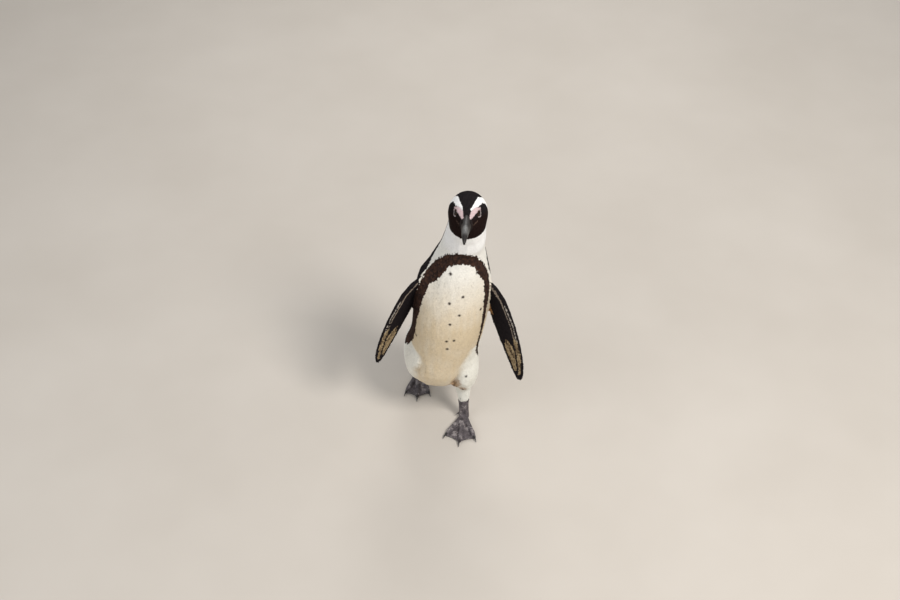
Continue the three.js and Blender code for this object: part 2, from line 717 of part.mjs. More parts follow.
function foot(side) {
  const toes = TOES.reduce((sum, t) => sum.add(toe(side, t)), web(side));
  const whole = toes.add(pad(side)).add(hindToe(side)).add(tarsusLoft(side));
  return whole.subtract(tarsusBlock(side, half)).subtract(floorBlock);
}

// ---------------------------------------------------------------- the penguin

const penguin = new THREE.Group();
penguin.name = "african_penguin";

function add(name, solid, material) {
  const mesh = new THREE.Mesh(geometryOf(solid), material);
  mesh.name = name;
  penguin.add(mesh);
}

add("head", headSolid, FACE_PLUMAGE);
add("neck", neck, WHITE_PLUMAGE);
add("trunk", trunk, WHITE_PLUMAGE);
add("tail", tail, BLACK_PLUMAGE);
add("bill_upper", billUpper, HORN);
add("bill_lower", billLower, HORN);
for (const side of SIDES) {
  const feet = foot(side);
  const leg = legOf(side);
  const claws = TOES.map((t) => claw(side, t));
  const toes = TOES.reduce((sum, t) => sum.add(toe(side, t)), feet);
  add(`eye_${side}`, eyeball(side, EYE_RADIUS), EYE_GLOSS);
  add(`flipper_${side}`, flipper(side), BLACK_PLUMAGE);
  add(`leg_${side}`, leg, WHITE_PLUMAGE);
  add(`tarsus_${side}`, tarsus(side), FOOT_SKIN);
  add(`foot_${side}`, claws.reduce((solid, c) => solid.subtract(c), feet), FOOT_SKIN);
  TOES.forEach((t, i) => add(`claw_${side}_${t.name}`, claws[i].subtract(toes), HORN));
}

// The origin goes under the middle of the whole bird.
const bounds = new THREE.Box3().setFromObject(penguin, true);
const middle = bounds.getCenter(V());
penguin.position.set(-middle.x, -middle.y, -bounds.min.z);

export default penguin;
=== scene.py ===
"""African penguin: plumage, bare skin, bill, eyes, lids, feet and claws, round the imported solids.

Lengths are millimetres in the bird's own frame until a mesh is made: x to the bird's left, -y
forward, z up, with the floor at 0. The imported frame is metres, shifted by SHIFT.
"""

import math

import bmesh
import bpy
import numpy as np
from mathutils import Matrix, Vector
from mathutils.bvhtree import BVHTree


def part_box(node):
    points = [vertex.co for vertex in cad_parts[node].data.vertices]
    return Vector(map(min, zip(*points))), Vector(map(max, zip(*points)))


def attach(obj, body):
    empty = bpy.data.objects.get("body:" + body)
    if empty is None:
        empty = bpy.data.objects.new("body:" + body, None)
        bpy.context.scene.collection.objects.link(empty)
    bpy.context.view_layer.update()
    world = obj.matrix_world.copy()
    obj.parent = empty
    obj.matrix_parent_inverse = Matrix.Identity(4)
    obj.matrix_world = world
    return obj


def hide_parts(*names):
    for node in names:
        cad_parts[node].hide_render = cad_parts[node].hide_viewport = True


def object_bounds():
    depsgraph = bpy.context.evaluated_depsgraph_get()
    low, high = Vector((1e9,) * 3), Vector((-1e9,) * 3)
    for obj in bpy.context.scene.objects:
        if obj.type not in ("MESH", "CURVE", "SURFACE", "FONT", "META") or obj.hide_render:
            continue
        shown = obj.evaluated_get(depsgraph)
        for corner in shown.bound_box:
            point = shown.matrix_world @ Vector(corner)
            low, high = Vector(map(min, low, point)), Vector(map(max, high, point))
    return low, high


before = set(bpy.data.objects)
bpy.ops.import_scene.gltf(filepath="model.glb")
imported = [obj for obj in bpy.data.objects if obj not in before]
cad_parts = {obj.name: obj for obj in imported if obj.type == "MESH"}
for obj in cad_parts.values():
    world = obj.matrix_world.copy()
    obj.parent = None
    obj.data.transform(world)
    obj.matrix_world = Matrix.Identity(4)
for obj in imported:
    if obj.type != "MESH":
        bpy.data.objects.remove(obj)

CAD_LOW, CAD_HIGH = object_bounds()
MM = 0.001
SIDES = {"left": 1, "right": -1}
FLESH = ("head", "neck", "trunk", "tail", "leg_left", "leg_right", "flipper_left", "flipper_right")
draw = np.random.default_rng(7)


def unit(v):
    return v / np.maximum(np.linalg.norm(v, axis=-1, keepdims=True), 1e-12)


def ramp(value, start, end):
    """0 before start, 1 after end, and smooth between."""
    t = np.clip((value - start) / (end - start), 0, 1)
    return t * t * (3 - 2 * t)


def window(value, start, full, ease, end):
    """0 before start and after end, 1 from full to ease, and smooth between."""
    return ramp(value, start, full) * ramp(value, end, ease)


def hump(value, middle, width, power=2):
    """1 at the middle, falling away to 0 over about the width."""
    return np.exp(-(((value - middle) / width) ** power))


def mix(a, b, share):
    return a + (b - a) * share


def dot(a, b):
    """The dot products of rows, as a column."""
    return np.einsum("ij,ij->i", a, b)[:, None]


def read_off(rows, at, column=1):
    """A table's column at places in its first column, straight between its rows."""
    rows = np.array(rows, float)
    return np.interp(at, rows[:, 0], rows[:, column])


def from_axis(offset, axis):
    """Distance along an axis, and away from it."""
    ahead = offset @ axis
    return ahead, np.linalg.norm(offset - ahead[:, None] * axis, axis=1)


def spokes(count, a, b):
    """Even turns round from a towards b, and the directions of their spokes."""
    turn = np.radians(np.arange(count) * 360 / count)
    return turn, np.cos(turn)[:, None] * a + np.sin(turn)[:, None] * b


# ---- the head's own frame

HEAD_AT = np.array([28.6, -29.5, 491.0])  # midway between the eyes
HEAD_PITCH = math.radians(18)
HEAD_YAW = math.radians(-4)
EYE = (2.5, 14.0, 1.5)  # the left eyeball's middle: forward, left and up
EYE_LOOK = (0.60, 0.78, 0.16)
EYE_RADIUS = 8.0


def turn_of(pitch, yaw):
    """The matrix of a pitch upwards and then a yaw to the bird's left."""
    cos_p, sin_p, cos_y, sin_y = math.cos(pitch), math.sin(pitch), math.cos(yaw), math.sin(yaw)
    pitched = np.array([[1, 0, 0], [0, cos_p, sin_p], [0, -sin_p, cos_p]])
    return np.array([[cos_y, -sin_y, 0], [sin_y, cos_y, 0], [0, 0, 1]]) @ pitched


HEAD_TURN = turn_of(HEAD_PITCH, HEAD_YAW)


def on_head(forward, left, up):
    local = np.stack(np.broadcast_arrays(left, -np.asarray(forward, float), up), -1)
    return HEAD_AT + local @ HEAD_TURN.T


def head_places(points):
    """How far forward, left and up of the eyes' midpoint the points are, in the head's frame."""
    local = (points - HEAD_AT) @ HEAD_TURN
    return -local[:, 1], local[:, 0], local[:, 2]


def face_places(points):
    """The same, with both sides of the face taken as one: forward, out and up."""
    forward, left, up = head_places(points)
    return np.stack([forward, np.abs(left), up], 1)


def box_of(node):
    low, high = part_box(node)
    return np.array(low) / MM, np.array(high) / MM


SHIFT = sum(box_of("eye_left")) / 2 - on_head(*EYE)  # from the bird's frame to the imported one


# ---- meshes

def mesh_of(name, points, faces):
    """A mesh straight from arrays, in the units of the arrays."""
    faces = np.asarray(faces, np.int32)
    count, corners = faces.shape
    mesh = bpy.data.meshes.new(name)
    mesh.vertices.add(len(points))
    mesh.vertices.foreach_set("co", np.asarray(points, np.float32).ravel())
    mesh.loops.add(count * corners)
    mesh.loops.foreach_set("vertex_index", faces.ravel())
    mesh.polygons.add(count)
    mesh.polygons.foreach_set("loop_start", np.arange(0, count * corners, corners, dtype=np.int32))
    mesh.update(calc_edges=True)
    mesh.validate()
    return mesh


def vertices_of(mesh):
    points = np.empty(len(mesh.vertices) * 3, np.float32)
    mesh.vertices.foreach_get("co", points)
    return points.reshape(-1, 3).astype(float)


def faces_of(mesh, corners):
    loops = np.empty(len(mesh.loops), np.int32)
    mesh.loops.foreach_get("vertex_index", loops)
    return loops.reshape(-1, corners)


def added(name, data):
    """A new object in the scene."""
    obj = bpy.data.objects.new(name, data)
    bpy.context.scene.collection.objects.link(obj)
    return obj


def piece(name, points, faces, material, slot, replaced=(), colours=None):
    """One visible piece of the bird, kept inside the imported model's box."""
    placed = np.clip((points + SHIFT) * MM, np.array(CAD_LOW), np.array(CAD_HIGH))
    mesh = mesh_of(name, placed, faces)
    mesh.polygons.foreach_set("use_smooth", np.ones(len(mesh.polygons), bool))
    if colours is not None:
        attribute = mesh.color_attributes.new("plumage", "FLOAT_COLOR", "POINT")
        rgba = np.concatenate([colours, np.ones((len(colours), 1))], 1)
        attribute.data.foreach_set("color", rgba.astype(np.float32).ravel())
    mesh.materials.append(material)
    obj = added(name, mesh)
    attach(obj, "root")
    if replaced:
        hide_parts(*replaced)
    return obj


def settled(obj):
    """The mesh of a helper object after its modifiers, as a new mesh. The helper is removed."""
    graph = bpy.context.evaluated_depsgraph_get()
    result = bpy.data.meshes.new_from_object(obj.evaluated_get(graph))
    bpy.data.objects.remove(obj)
    return result


def loft(rings, closed=True):
    """Points and triangles of a closed solid through rings of equal counts."""
    rings = np.asarray(rings)
    count, around = rings.shape[:2]
    points = np.concatenate([rings.reshape(-1, 3), [rings[0].mean(0), rings[-1].mean(0)]])
    i, j = np.meshgrid(np.arange(count - 1), np.arange(around), indexing="ij")
    a = (i * around + j).ravel()
    b = (i * around + (j + 1) % around).ravel()
    sides = np.concatenate([np.stack([a, b, b + around], 1), np.stack([a, b + around, a + around], 1)])
    if not closed:
        return points[:-2], sides
    first = np.arange(around)
    last = (count - 1) * around + first
    start = np.full(around, count * around)
    caps = [
        np.stack([start, np.roll(first, -1), first], 1),
        np.stack([start + 1, last, np.roll(last, -1)], 1),
    ]
    return points, np.concatenate([sides, *caps])


def faced_out(points, triangles):
    a, b, c = (points[triangles[:, k]] for k in range(3))
    volume = np.einsum("ij,ij->i", a, np.cross(b, c)).sum()
    return triangles if volume > 0 else triangles[:, ::-1]


def remeshed(nodes, voxel, inflate=0.0, extra=()):
    """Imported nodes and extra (points, triangles) solids as one even surface of quads."""
    work = bmesh.new()
    for name in nodes:
        work.from_mesh(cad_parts[name].data)
    bmesh.ops.scale(work, vec=(1 / MM,) * 3, verts=work.verts)
    bmesh.ops.remove_doubles(work, verts=work.verts, dist=1e-3)
    work.normal_update()
    for vertex in work.verts:
        vertex.co += vertex.normal * inflate
    for points, triangles in extra:
        work.from_mesh(mesh_of("extra", points + SHIFT, faced_out(points, triangles)))
    mesh = bpy.data.meshes.new("joined")
    work.to_mesh(mesh)
    work.free()
    obj = added("helper", mesh)
    modifier = obj.modifiers.new("remesh", "REMESH")
    modifier.mode = "VOXEL"
    modifier.voxel_size = voxel
    joined = settled(obj)
    return vertices_of(joined) - SHIFT, faces_of(joined, 4)


class Surface:
    """Points and quads, with the neighbours and normals that smoothing and rooting need."""

    def __init__(self, points, faces):
        self.points = points
        self.faces = faces
        pairs = np.concatenate([faces[:, [k, (k + 1) % 4]] for k in range(4)])
        pairs = np.unique(np.sort(pairs, 1), axis=0)
        self.near = np.concatenate([pairs[:, 0], pairs[:, 1]])
        self.far = np.concatenate([pairs[:, 1], pairs[:, 0]])
        self.degree = np.bincount(self.near, minlength=len(points))[:, None]

    def average(self, values):
        """Each point's mean over its neighbours."""
        columns = [
            np.bincount(self.near, values[self.far, k], minlength=len(values))
            for k in range(values.shape[1])
        ]
        return np.stack(columns, 1) / self.degree

    def smooth(self, rounds, strength=0.6):
        for _ in range(rounds):
            for step in (strength, -strength * 1.03):
                self.points = self.points + step * (self.average(self.points) - self.points)

    def normals(self):
        a, b, c, d = (self.points[self.faces[:, k]] for k in range(4))
        face = np.cross(c - a, d - b)
        columns = []
        for axis in range(3):
            weights = np.repeat(face[:, axis], 4)
            columns.append(np.bincount(self.faces.ravel(), weights, minlength=len(self.points)))
        return unit(np.stack(columns, 1))


# ---- the plumage's sizes

# For each part: depth of the coat, spacing of the feathers, their length and half their width.
COAT = {
    "head": (0.8, 1.2, 3.8, 1.0),
    "neck": (1.4, 1.7, 6.0, 1.5),
    "trunk": (1.7, 2.1, 7.6, 1.9),
    "leg_left": (1.5, 1.9, 6.5, 1.6),
    "leg_right": (1.5, 1.9, 6.5, 1.6),
    "flipper_left": (0.5, 1.45, 4.2, 1.2),
    "flipper_right": (0.5, 1.45, 4.2, 1.2),
    "tail": (0.9, 3.4, 24.0, 2.8),
}
SKIN_VOXEL = 1.35
SEAM_FILL = 0.25  # how far the solids are swelled to close the cuts between them
SKIN_ROUNDS = 34  # smoothing that takes the solids' facets out
BLEND_ROUNDS = 14  # smoothing of the shares of the parts, across about 8 mm
PART_MARGIN = 3  # how far outside a part's box its skin may lie
SKIN_SHADE = 0.85  # the skin under the coat, against the feathers' own colours


def part_shares(surface):
    """How much of each part of the flesh a point belongs to, blended across the cuts."""
    best = np.full(len(surface.points), np.inf)
    nearest = np.zeros(len(surface.points), int)
    for k, name in enumerate(FLESH):
        low, high = box_of(name)
        low, high = low - SHIFT - PART_MARGIN, high - SHIFT + PART_MARGIN
        inside = np.all((surface.points > low) & (surface.points < high), 1).nonzero()[0]
        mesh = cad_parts[name].data
        points = vertices_of(mesh) / MM - SHIFT
        tree = BVHTree.FromPolygons(points.tolist(), faces_of(mesh, 3).tolist())
        for i in inside:
            distance = tree.find_nearest(surface.points[i])[3]
            if distance < best[i]:
                best[i] = distance
                nearest[i] = k
    shares = np.zeros((len(nearest), len(FLESH)))
    shares[np.arange(len(nearest)), nearest] = 1
    for _ in range(BLEND_ROUNDS):
        shares = mix(shares, surface.average(shares), 0.7)
    return shares


# ---- places on the body

# The middle line of trunk and neck: height, x and y.
BODY_AXIS = [(100, -15, 16), (165, -12, 12), (235, -1, 6), (305, 6, 3), (388, 19.5, 3), (468, 30, 3)]
ARC = 1.2  # millimetres round the body for each degree


def round_body(points):
    """Degrees round the body from the middle of the breast, positive to the bird's left."""
    x = read_off(BODY_AXIS, points[:, 2])
    y = read_off(BODY_AXIS, points[:, 2], 2)
    return np.degrees(np.arctan2(points[:, 0] - x, y - points[:, 1]))


FLIPPER_LENGTH = 205.0
FLIPPER_ROOT = {"left": (66.6, -9.5, 335.3), "right": (-51.4, -12.4, 344.1)}
FLIPPER_SPAN = {"left": (0.31, -0.33, -0.89), "right": (-0.41, -0.13, -0.9)}
FLIPPER_LEAD = {"left": (0.68, -0.58, 0.45), "right": (-0.64, -0.66, 0.39)}


def flipper_axes(side):
    """Directions down the flipper, to its leading edge and towards the body."""
    span = unit(np.array(FLIPPER_SPAN[side]))
    lead = np.array(FLIPPER_LEAD[side])
    lead = unit(lead - span * (lead @ span))
    return span, lead, np.cross(span, lead) * SIDES[side]


def on_flipper(points, side):
    """Share of the length down the flipper, and millimetres towards the leading edge."""
    span, lead, _ = flipper_axes(side)
    offset = points - np.array(FLIPPER_ROOT[side])
    return offset @ span / FLIPPER_LENGTH, offset @ lead


def stroke(places, path):
    """Signed distance from places to a tapering stroke: rows of coordinates and half width."""
    path = np.asarray(path, float)
    best = np.full(len(places), np.inf)
    for a, b in zip(path[:-1], path[1:]):
        way = b[:-1] - a[:-1]
        t = np.clip((places - a[:-1]) @ way / (way @ way), 0, 1)
        gap = np.linalg.norm(places - a[:-1] - t[:, None] * way, axis=1)
        best = np.minimum(best, gap - mix(a[-1], b[-1], t))
    return best


WAVES = ((1.0, 0.6, 0.3), (-0.5, 1.1, 0.7), (0.4, -0.8, 1.2), (1.3, 0.2, -0.9))


def wobble(points, size):
    """Smooth wandering values about 0, over lengths of about size."""
    total = np.zeros(len(points))
    for k, wave in enumerate(WAVES):
        total += np.sin((points @ np.array(wave)) * 2 * math.pi / size + 1.7 * k)
    return total / len(WAVES)


# ---- colours and markings

BLACK = np.array([0.0155, 0.0130, 0.0140])
MASK_BLACK = np.array([0.0150, 0.0082, 0.0072])
BAND_BLACK = np.array([0.026, 0.017, 0.015])
BAND_BROWN = np.array([0.058, 0.031, 0.022])
WHITE = np.array([0.83, 0.81, 0.75])
THROAT_WHITE = np.array([0.90, 0.89, 0.87])
CREAM = np.array([0.69, 0.57, 0.395])
THIGH_WHITE = np.array([0.83, 0.82, 0.75])
STAIN = np.array([0.33, 0.19, 0.09])
# dark stain with painted shade, for the cores of the stained places in the creases and under the thigh
DARK_STAIN_AND_SHADE = np.array([0.07, 0.04, 0.024])
PINK = np.array([0.66, 0.50, 0.51])
LID_PALE = np.array([0.58, 0.50, 0.49])
FLIPPER_CREAM = np.array([0.42, 0.32, 0.19])
FLIPPER_TAN = np.array([0.15, 0.105, 0.06])
FLIPPER_STREAK = np.array([0.27, 0.22, 0.175])
FLIPPER_LINE = np.array([0.42, 0.38, 0.33])

# The breast band, from its lower end on the bird's right over the breast to its left:
# degrees round the body, height and half width in millimetres.
BREAST_BAND = [
    (-90, 164, 8), (-83, 182, 16), (-79, 205, 22), (-77.5, 225, 24), (-77, 252, 24), (-71, 280, 22),
    (-63, 300, 15), (-57.5, 324, 10.5), (-57, 346, 9), (-54, 363, 20), (-44, 377, 17),
    (-32, 393.5, 10.5), (-14, 401, 11.5), (0, 405.5, 12), (14, 402, 11.5), (27, 393, 10),
    (40, 379, 10.5), (50, 366, 12), (58, 348, 12), (57, 335, 9.8), (55, 308, 8), (53, 281, 6.6),
    (51, 250, 6), (51, 225, 5.5), (50, 200, 5), (57, 172, 4), (67, 152, 2.6),
]
# Where the black of the back begins: height, and degrees round the body on either side.
BACK_EDGE = {
    "left": [
        (100, 122), (150, 107), (220, 102), (300, 96), (330, 84), (350, 78), (372, 80), (400, 95),
        (470, 98),
    ],
    "right": [
        (100, 118), (150, 112), (220, 106), (268, 103), (284, 95), (297, 83), (315, 73), (336, 69),
        (358, 73), (366, 86), (378, 92), (400, 97), (470, 98),
    ],
}
# Dark spots on the front: x and height.
SPOTS = [
    (1, 376), (18, 391), (46, 374), (22, 335), (-1, 323), (16, 299), (0, 280), (-6, 240), (7, 242),
    (-5, 221), (29, 136), (53, 296), (-60, 220),
]
SPOT_RADIUS = 2.5
SPOT_EDGE = 0.9  # half the width of a spot's soft edge
# How cream the front is: height and share.
CREAM_AT = [(85, 0.7), (130, 0.9), (250, 1.0), (290, 0.75), (330, 0.42), (365, 0.15), (390, 0.0)]
# Where the thighs' white begins on the front: height and x.
THIGH_EDGE = {
    "left": [(95, 2), (117, 6), (139, 15), (159, 19), (180, 28), (199, 36), (206, 70), (260, 90)],
    "right": [(95, -60), (140, -62), (150, -57), (166, -50), (182, -53), (190, -78), (260, -90)],
}
# The creases between the thighs and the belly.
THIGH_CREASES = [
    [(35, -55, 199), (28, -57, 180), (19, -58.5, 159), (15, -58, 139), (11, -55.5, 123), (4.5, -52, 108)],
    [(-72, -22, 184), (-53, -50.5, 181), (-50.5, -56, 166), (-57.5, -52, 150), (-64, -45, 136)],
]
CREASE_WIDTH = 6.0
CREASE_DEPTH = [(115, 7.5), (150, 4.5), (190, 1.2)]  # height and depth
# Places of stained feathers in the creases and under the left thigh, and their reach; the dark core of each
# is dark stain with painted shade.
STAINED = [(9, -56, 124, 7), (9, -52, 112, 11), (7, -44, 102, 10), (24, -46, 96, 6), (-60, -49, 143, 5)]
VENT_LEVEL = 126  # height where the white under the tail begins, at its front
VENT_SLOPE = -0.40
VENT_END = 80  # and how far back it goes
# The white stripe over the eye and round the cheek: forward, out, up and half width.
HEAD_STRIPE = [
    (23, 6, 9.5, 1.6), (14, 9.5, 14, 3), (1, 16.6, 18.5, 4.9), (-12, 20, 19.5, 5.6), (-22, 24.5, 15, 6.6),
    (-31, 27, 3, 8), (-36, 27.5, -11, 8.8), (-36, 28, -27, 11.5), (-29, 30, -42, 15), (-12, 30, -60, 20),
]
# Bare skin from the bill over the eye.
BARE_PATCH = [(27, 8, 3, 3.5), (19, 10.5, 7, 4.6), (10, 14.5, 9.5, 4), (2, 19, 9.5, 2.6)]
BARE_ROUND_EYE = 6.9
# The line of the gape behind the bill.
GAPE_LINE = [(29, 9.5, -12.5, 1.0), (22, 13.5, -10.5, 1.1), (15.5, 16.7, -8, 1.0), (10, 18.5, -5.5, 0.6)]
GAPE = np.array([0.085, 0.055, 0.043])
MASK_EDGE = (14.5, -41.0, 0.3)  # reach forward and level of the black face's lower edge, and slope


def eye_axes(side):
    """An eyeball's middle, the way it looks, and the ways forward and up across its front."""
    sign = SIDES[side]
    middle = on_head(EYE[0], sign * EYE[1], EYE[2])
    look = unit(np.array([sign * EYE_LOOK[1], -EYE_LOOK[0], EYE_LOOK[2]]) @ HEAD_TURN.T)
    bill = np.array([0, -1.0, 0]) @ HEAD_TURN.T
    forward = unit(bill - look * (bill @ look))
    up = np.cross(look, forward)
    return middle, look, forward, up if up[2] > 0 else -up


def from_eye(points):
    """Distance of points from the nearer eye's line of sight."""
    nearest = np.full(len(points), np.inf)
    for side in SIDES:
        middle, look, _, _ = eye_axes(side)
        ahead, across = from_axis(points - middle, look)
        nearest = np.minimum(nearest, np.where(ahead > 0, across, np.inf))
    return nearest


def bareness(points):
    """Signed distance outside the bare skin of the face."""
    return np.minimum(stroke(face_places(points), BARE_PATCH), from_eye(points) - BARE_ROUND_EYE)


def on_thighs(points):
    """How much of a thigh a point on the front of the body belongs to."""
    left = points[:, 0] - read_off(THIGH_EDGE["left"], points[:, 2])
    right = read_off(THIGH_EDGE["right"], points[:, 2]) - points[:, 0]
    return 0.9 * ramp(np.maximum(left, right) + 2 * wobble(points, 23), -9, 10)


def spotted(points, colours):
    """Small round spots of dark feathers on the white of the front."""
    front = points[:, 1] < 0
    slant = np.cos(np.radians(np.clip(round_body(points), -72, 72)))
    for spot in SPOTS:
        gap = np.hypot((points[:, 0] - spot[0]) / slant, points[:, 2] - spot[1])
        share = ramp(gap, SPOT_RADIUS + SPOT_EDGE, SPOT_RADIUS - SPOT_EDGE) * front
        colours = mix(colours, BAND_BLACK, share[:, None])
    return colours


def from_crease(points):
    """Distance from the creases between the thighs and the belly, and the depth of the crease."""
    gaps = np.stack([stroke(points, [(*row, 0) for row in path]) for path in THIGH_CREASES])
    return gaps.min(0), read_off(CREASE_DEPTH, points[:, 2])


def body_colours(points, ragged):
    """White below, the breast band and its spots, and the black back."""
    angle = round_body(points)
    height = points[:, 2] + 2.0 * wobble(points, 31) + ragged
    places = np.stack([angle * ARC, height], 1)
    creamy = read_off(CREAM_AT, height) * ramp(np.abs(angle), 92, 62)
    streaks = 0.10 * wobble(points, 43) + 0.12 * wobble(points * np.array([1, 1, 0.14]), 15)
    colour = mix(WHITE, CREAM, np.clip(creamy * (1 + streaks), 0, 1)[:, None])
    colour = mix(colour, THROAT_WHITE, ramp(height, 400, 425)[:, None])
    colour = mix(colour, THIGH_WHITE, on_thighs(points)[:, None])
    band = stroke(places, [(a * ARC, z, w) for a, z, w in BREAST_BAND]) + 1.7 * wobble(points, 8)
    patchy = ramp(wobble(points, 13) + 0.9 * ragged, -0.9, 0.9)[:, None]
    colour = np.where((band + ragged < 0)[:, None], mix(BAND_BLACK, BAND_BROWN, patchy), colour)
    edge = np.where(angle > 0, *(read_off(BACK_EDGE[side], height) for side in SIDES))
    back = (np.abs(angle) - edge) * ARC + 1.2 * wobble(points, 12) + ragged > 0
    vent = (points[:, 2] + ragged < VENT_LEVEL + VENT_SLOPE * (points[:, 1] - 30)) & (points[:, 1] < VENT_END)
    return np.where((back & ~vent)[:, None], BLACK, colour)


def head_colours(points, ragged):
    """Black crown and mask, the white stripe between them, and white below the chin."""
    places = face_places(points)
    forward, _, up = places.T
    stripe = stroke(places, HEAD_STRIPE) + 0.5 * ragged
    reach, level, slope = MASK_EDGE
    below = up + 0.8 * ragged < level + slope * np.clip(reach - forward, 0, 48)
    throat = below & (forward > -34)
    black = mix(BLACK, MASK_BLACK, (ramp(up, 8, -8) * ramp(forward, -36, -26))[:, None])
    colour = np.where(((stripe < 0) | throat)[:, None], THROAT_WHITE, black)
    gape = stroke(places, GAPE_LINE)
    return np.where((gape < 0)[:, None], GAPE, colour)


STREAK = {"left": 1.9, "right": 1.2}  # half width of the pale streak near the root
STREAK_ENDS = (0.05, 0.14, 0.26, 0.36)  # share of the length where it widens and narrows
STREAK_THIN = 0.9
STAIN_AT = 0.31  # share of the length where the left flipper's trailing edge is stained
DISTAL = 0.63  # share of the length where the pale end of the underside begins
# Share of the length, and the leading and trailing edges' distance from the middle line.
FLIPPER_EDGES = [
    (0, 14, -16), (0.25, 23, -27), (0.48, 26.4, -26.6), (0.75, 21.2, -21.4), (0.9, 12, -17), (1, -2, -9),
]


def flipper_colours(points, normals, side, ragged):
    """Black outside with a pale trailing edge, and a streaked underside with a pale end."""
    share, lead = on_flipper(points, side)
    under = normals @ flipper_axes(side)[2] > 0.12
    front = read_off(FLIPPER_EDGES, share) - lead - 0.5 * ragged
    back = lead + 0.5 * ragged - read_off(FLIPPER_EDGES, share, 2)
    along = np.stack([lead, share * 26, np.zeros(len(share))], 1)
    grain = wobble(along, 7) + 0.8 * ragged
    width = np.interp(share, STREAK_ENDS, (STREAK_THIN, STREAK[side], STREAK[side], STREAK_THIN))
    streak = (np.abs(front - 9 - wobble(along, 19)) < width) & (share > 0.06) & (share < DISTAL + 0.05)
    second = (np.abs(front - 4.4) < 0.75) & (share > 0.28) & (share < DISTAL)
    ends = (share > DISTAL + 0.03 * np.sin(lead / 3.1) + 0.02 * ragged) & (share < 0.955)
    pale = ends & (front > 4 + 1.5 * wobble(along, 11)) & (back > 7 + 1.5 * wobble(along, 9))
    keel = np.abs(front - 15 + 12 * (share - 0.7) - 2 * wobble(along, 15))
    dark = keel < np.interp(share, [0.6, 0.7, 0.82, 0.95], [4.5, 2.2, 1.4, 3.5])
    tone = mix(FLIPPER_CREAM, FLIPPER_TAN, ramp(grain, -0.7, 0.6)[:, None])
    tone = np.where((grain > 0.8)[:, None], BAND_BLACK, tone)
    colour = np.where((under & streak)[:, None], FLIPPER_STREAK, BLACK)
    colour = np.where((under & second)[:, None], FLIPPER_LINE, colour)
    stained = (np.abs(share - STAIN_AT) < 0.06 + 0.01 * ragged) & (back < 9.5) & (side == "left")
    colour = np.where((under & stained)[:, None], STAIN, colour)
    colour = np.where((under & pale & ~dark)[:, None], tone, colour)
    trailing = ~under & (back < 2.5) & (share > 0.1) & (share < 0.95)
    return np.where(trailing[:, None], WHITE, colour)


def plumage(points, normals, shares, ragged):
    """The colour of the plumage at points, of which shares belong to each part of the flesh."""
    part = shares.argmax(1)
    colour = body_colours(points, ragged)
    for k, name in enumerate(FLESH):
        chosen = part == k
        if not chosen.any():
            continue
        here = points[chosen]
        if name == "head":
            colour[chosen] = head_colours(here, ragged[chosen])
        elif name.startswith("flipper"):
            side = name.split("_")[1]
            colour[chosen] = flipper_colours(here, normals[chosen], side, ragged[chosen])
        elif name.startswith("leg"):
            colour[chosen] = THIGH_WHITE
        elif name == "tail":
            colour[chosen] = BLACK
    for *place, reach in STAINED:
        gap = np.linalg.norm(points - np.array(place), axis=1) + 2 * wobble(points, 6)
        colour = mix(colour, STAIN, (ramp(gap, reach + 4, reach - 3) * 0.7)[:, None])
        # each place's dark core: partly dark stain, partly painted shade in the crease or under the thigh
        colour = mix(colour, DARK_STAIN_AND_SHADE, (ramp(gap, 0.6 * reach, 0.2 * reach) * 0.8)[:, None])
    return colour


# ---- the lie of the feathers

BILL_ROOT = on_head(26, 0, -8)
TAIL_ROOT = np.array([-6.0, 90, 108])
TAIL_WAY = unit(np.array([0.05, 0.62, -0.78]))


def lie(points, normals, shares):
    """The way that feathers point on the skin."""
    down = np.broadcast_to(np.array([0, 0.22, -1.0]), points.shape).copy()
    rump = ramp(points[:, 1], 25, 80) * ramp(points[:, 2], 190, 130)
    ways = {name: down for name in FLESH}
    ways["trunk"] = mix(down, TAIL_WAY, rump[:, None])
    ways["tail"] = np.broadcast_to(TAIL_WAY, points.shape)
    away = unit(points - BILL_ROOT)
    _, _, up = head_places(points)
    low = ramp(up, -20, -50)[:, None]
    ways["head"] = mix(away, np.array([0, 0.1, -1.0]), low)
    for side in SIDES:
        span, lead, _ = flipper_axes(side)
        ways["flipper_" + side] = np.broadcast_to(span - 0.18 * lead, points.shape)
    total = sum(shares[:, k : k + 1] * unit(ways[name]) for k, name in enumerate(FLESH))
    return unit(total - normals * dot(total, normals))


def unwrap(points, normals, name):
    """Places on a flat map of one part of the skin, before they are fitted to the square."""
    if name == "head":
        forward, left, up = head_places(points)
        return np.stack([np.degrees(np.arctan2(left, up + 12)), -1.2 * forward - 0.4 * up], 1)
    if name.startswith("flipper"):
        side = name.split("_")[1]
        share, lead = on_flipper(points, side)
        outer = normals @ flipper_axes(side)[2] < 0
        return np.stack([lead + 70 * outer, share], 1)
    if name == "tail":
        along = (points - TAIL_ROOT) @ TAIL_WAY
        return np.stack([points[:, 0] + 70 * (normals[:, 2] < 0), along], 1)
    if name.startswith("leg"):
        low, high = box_of(name)
        middle = (low + high) / 2 - SHIFT
        turn = np.degrees(np.arctan2(points[:, 0] - middle[0], middle[1] - points[:, 1]))
        return np.stack([turn, points[:, 2]], 1)
    return np.stack([round_body(points), points[:, 2]], 1)


# ---- feathers

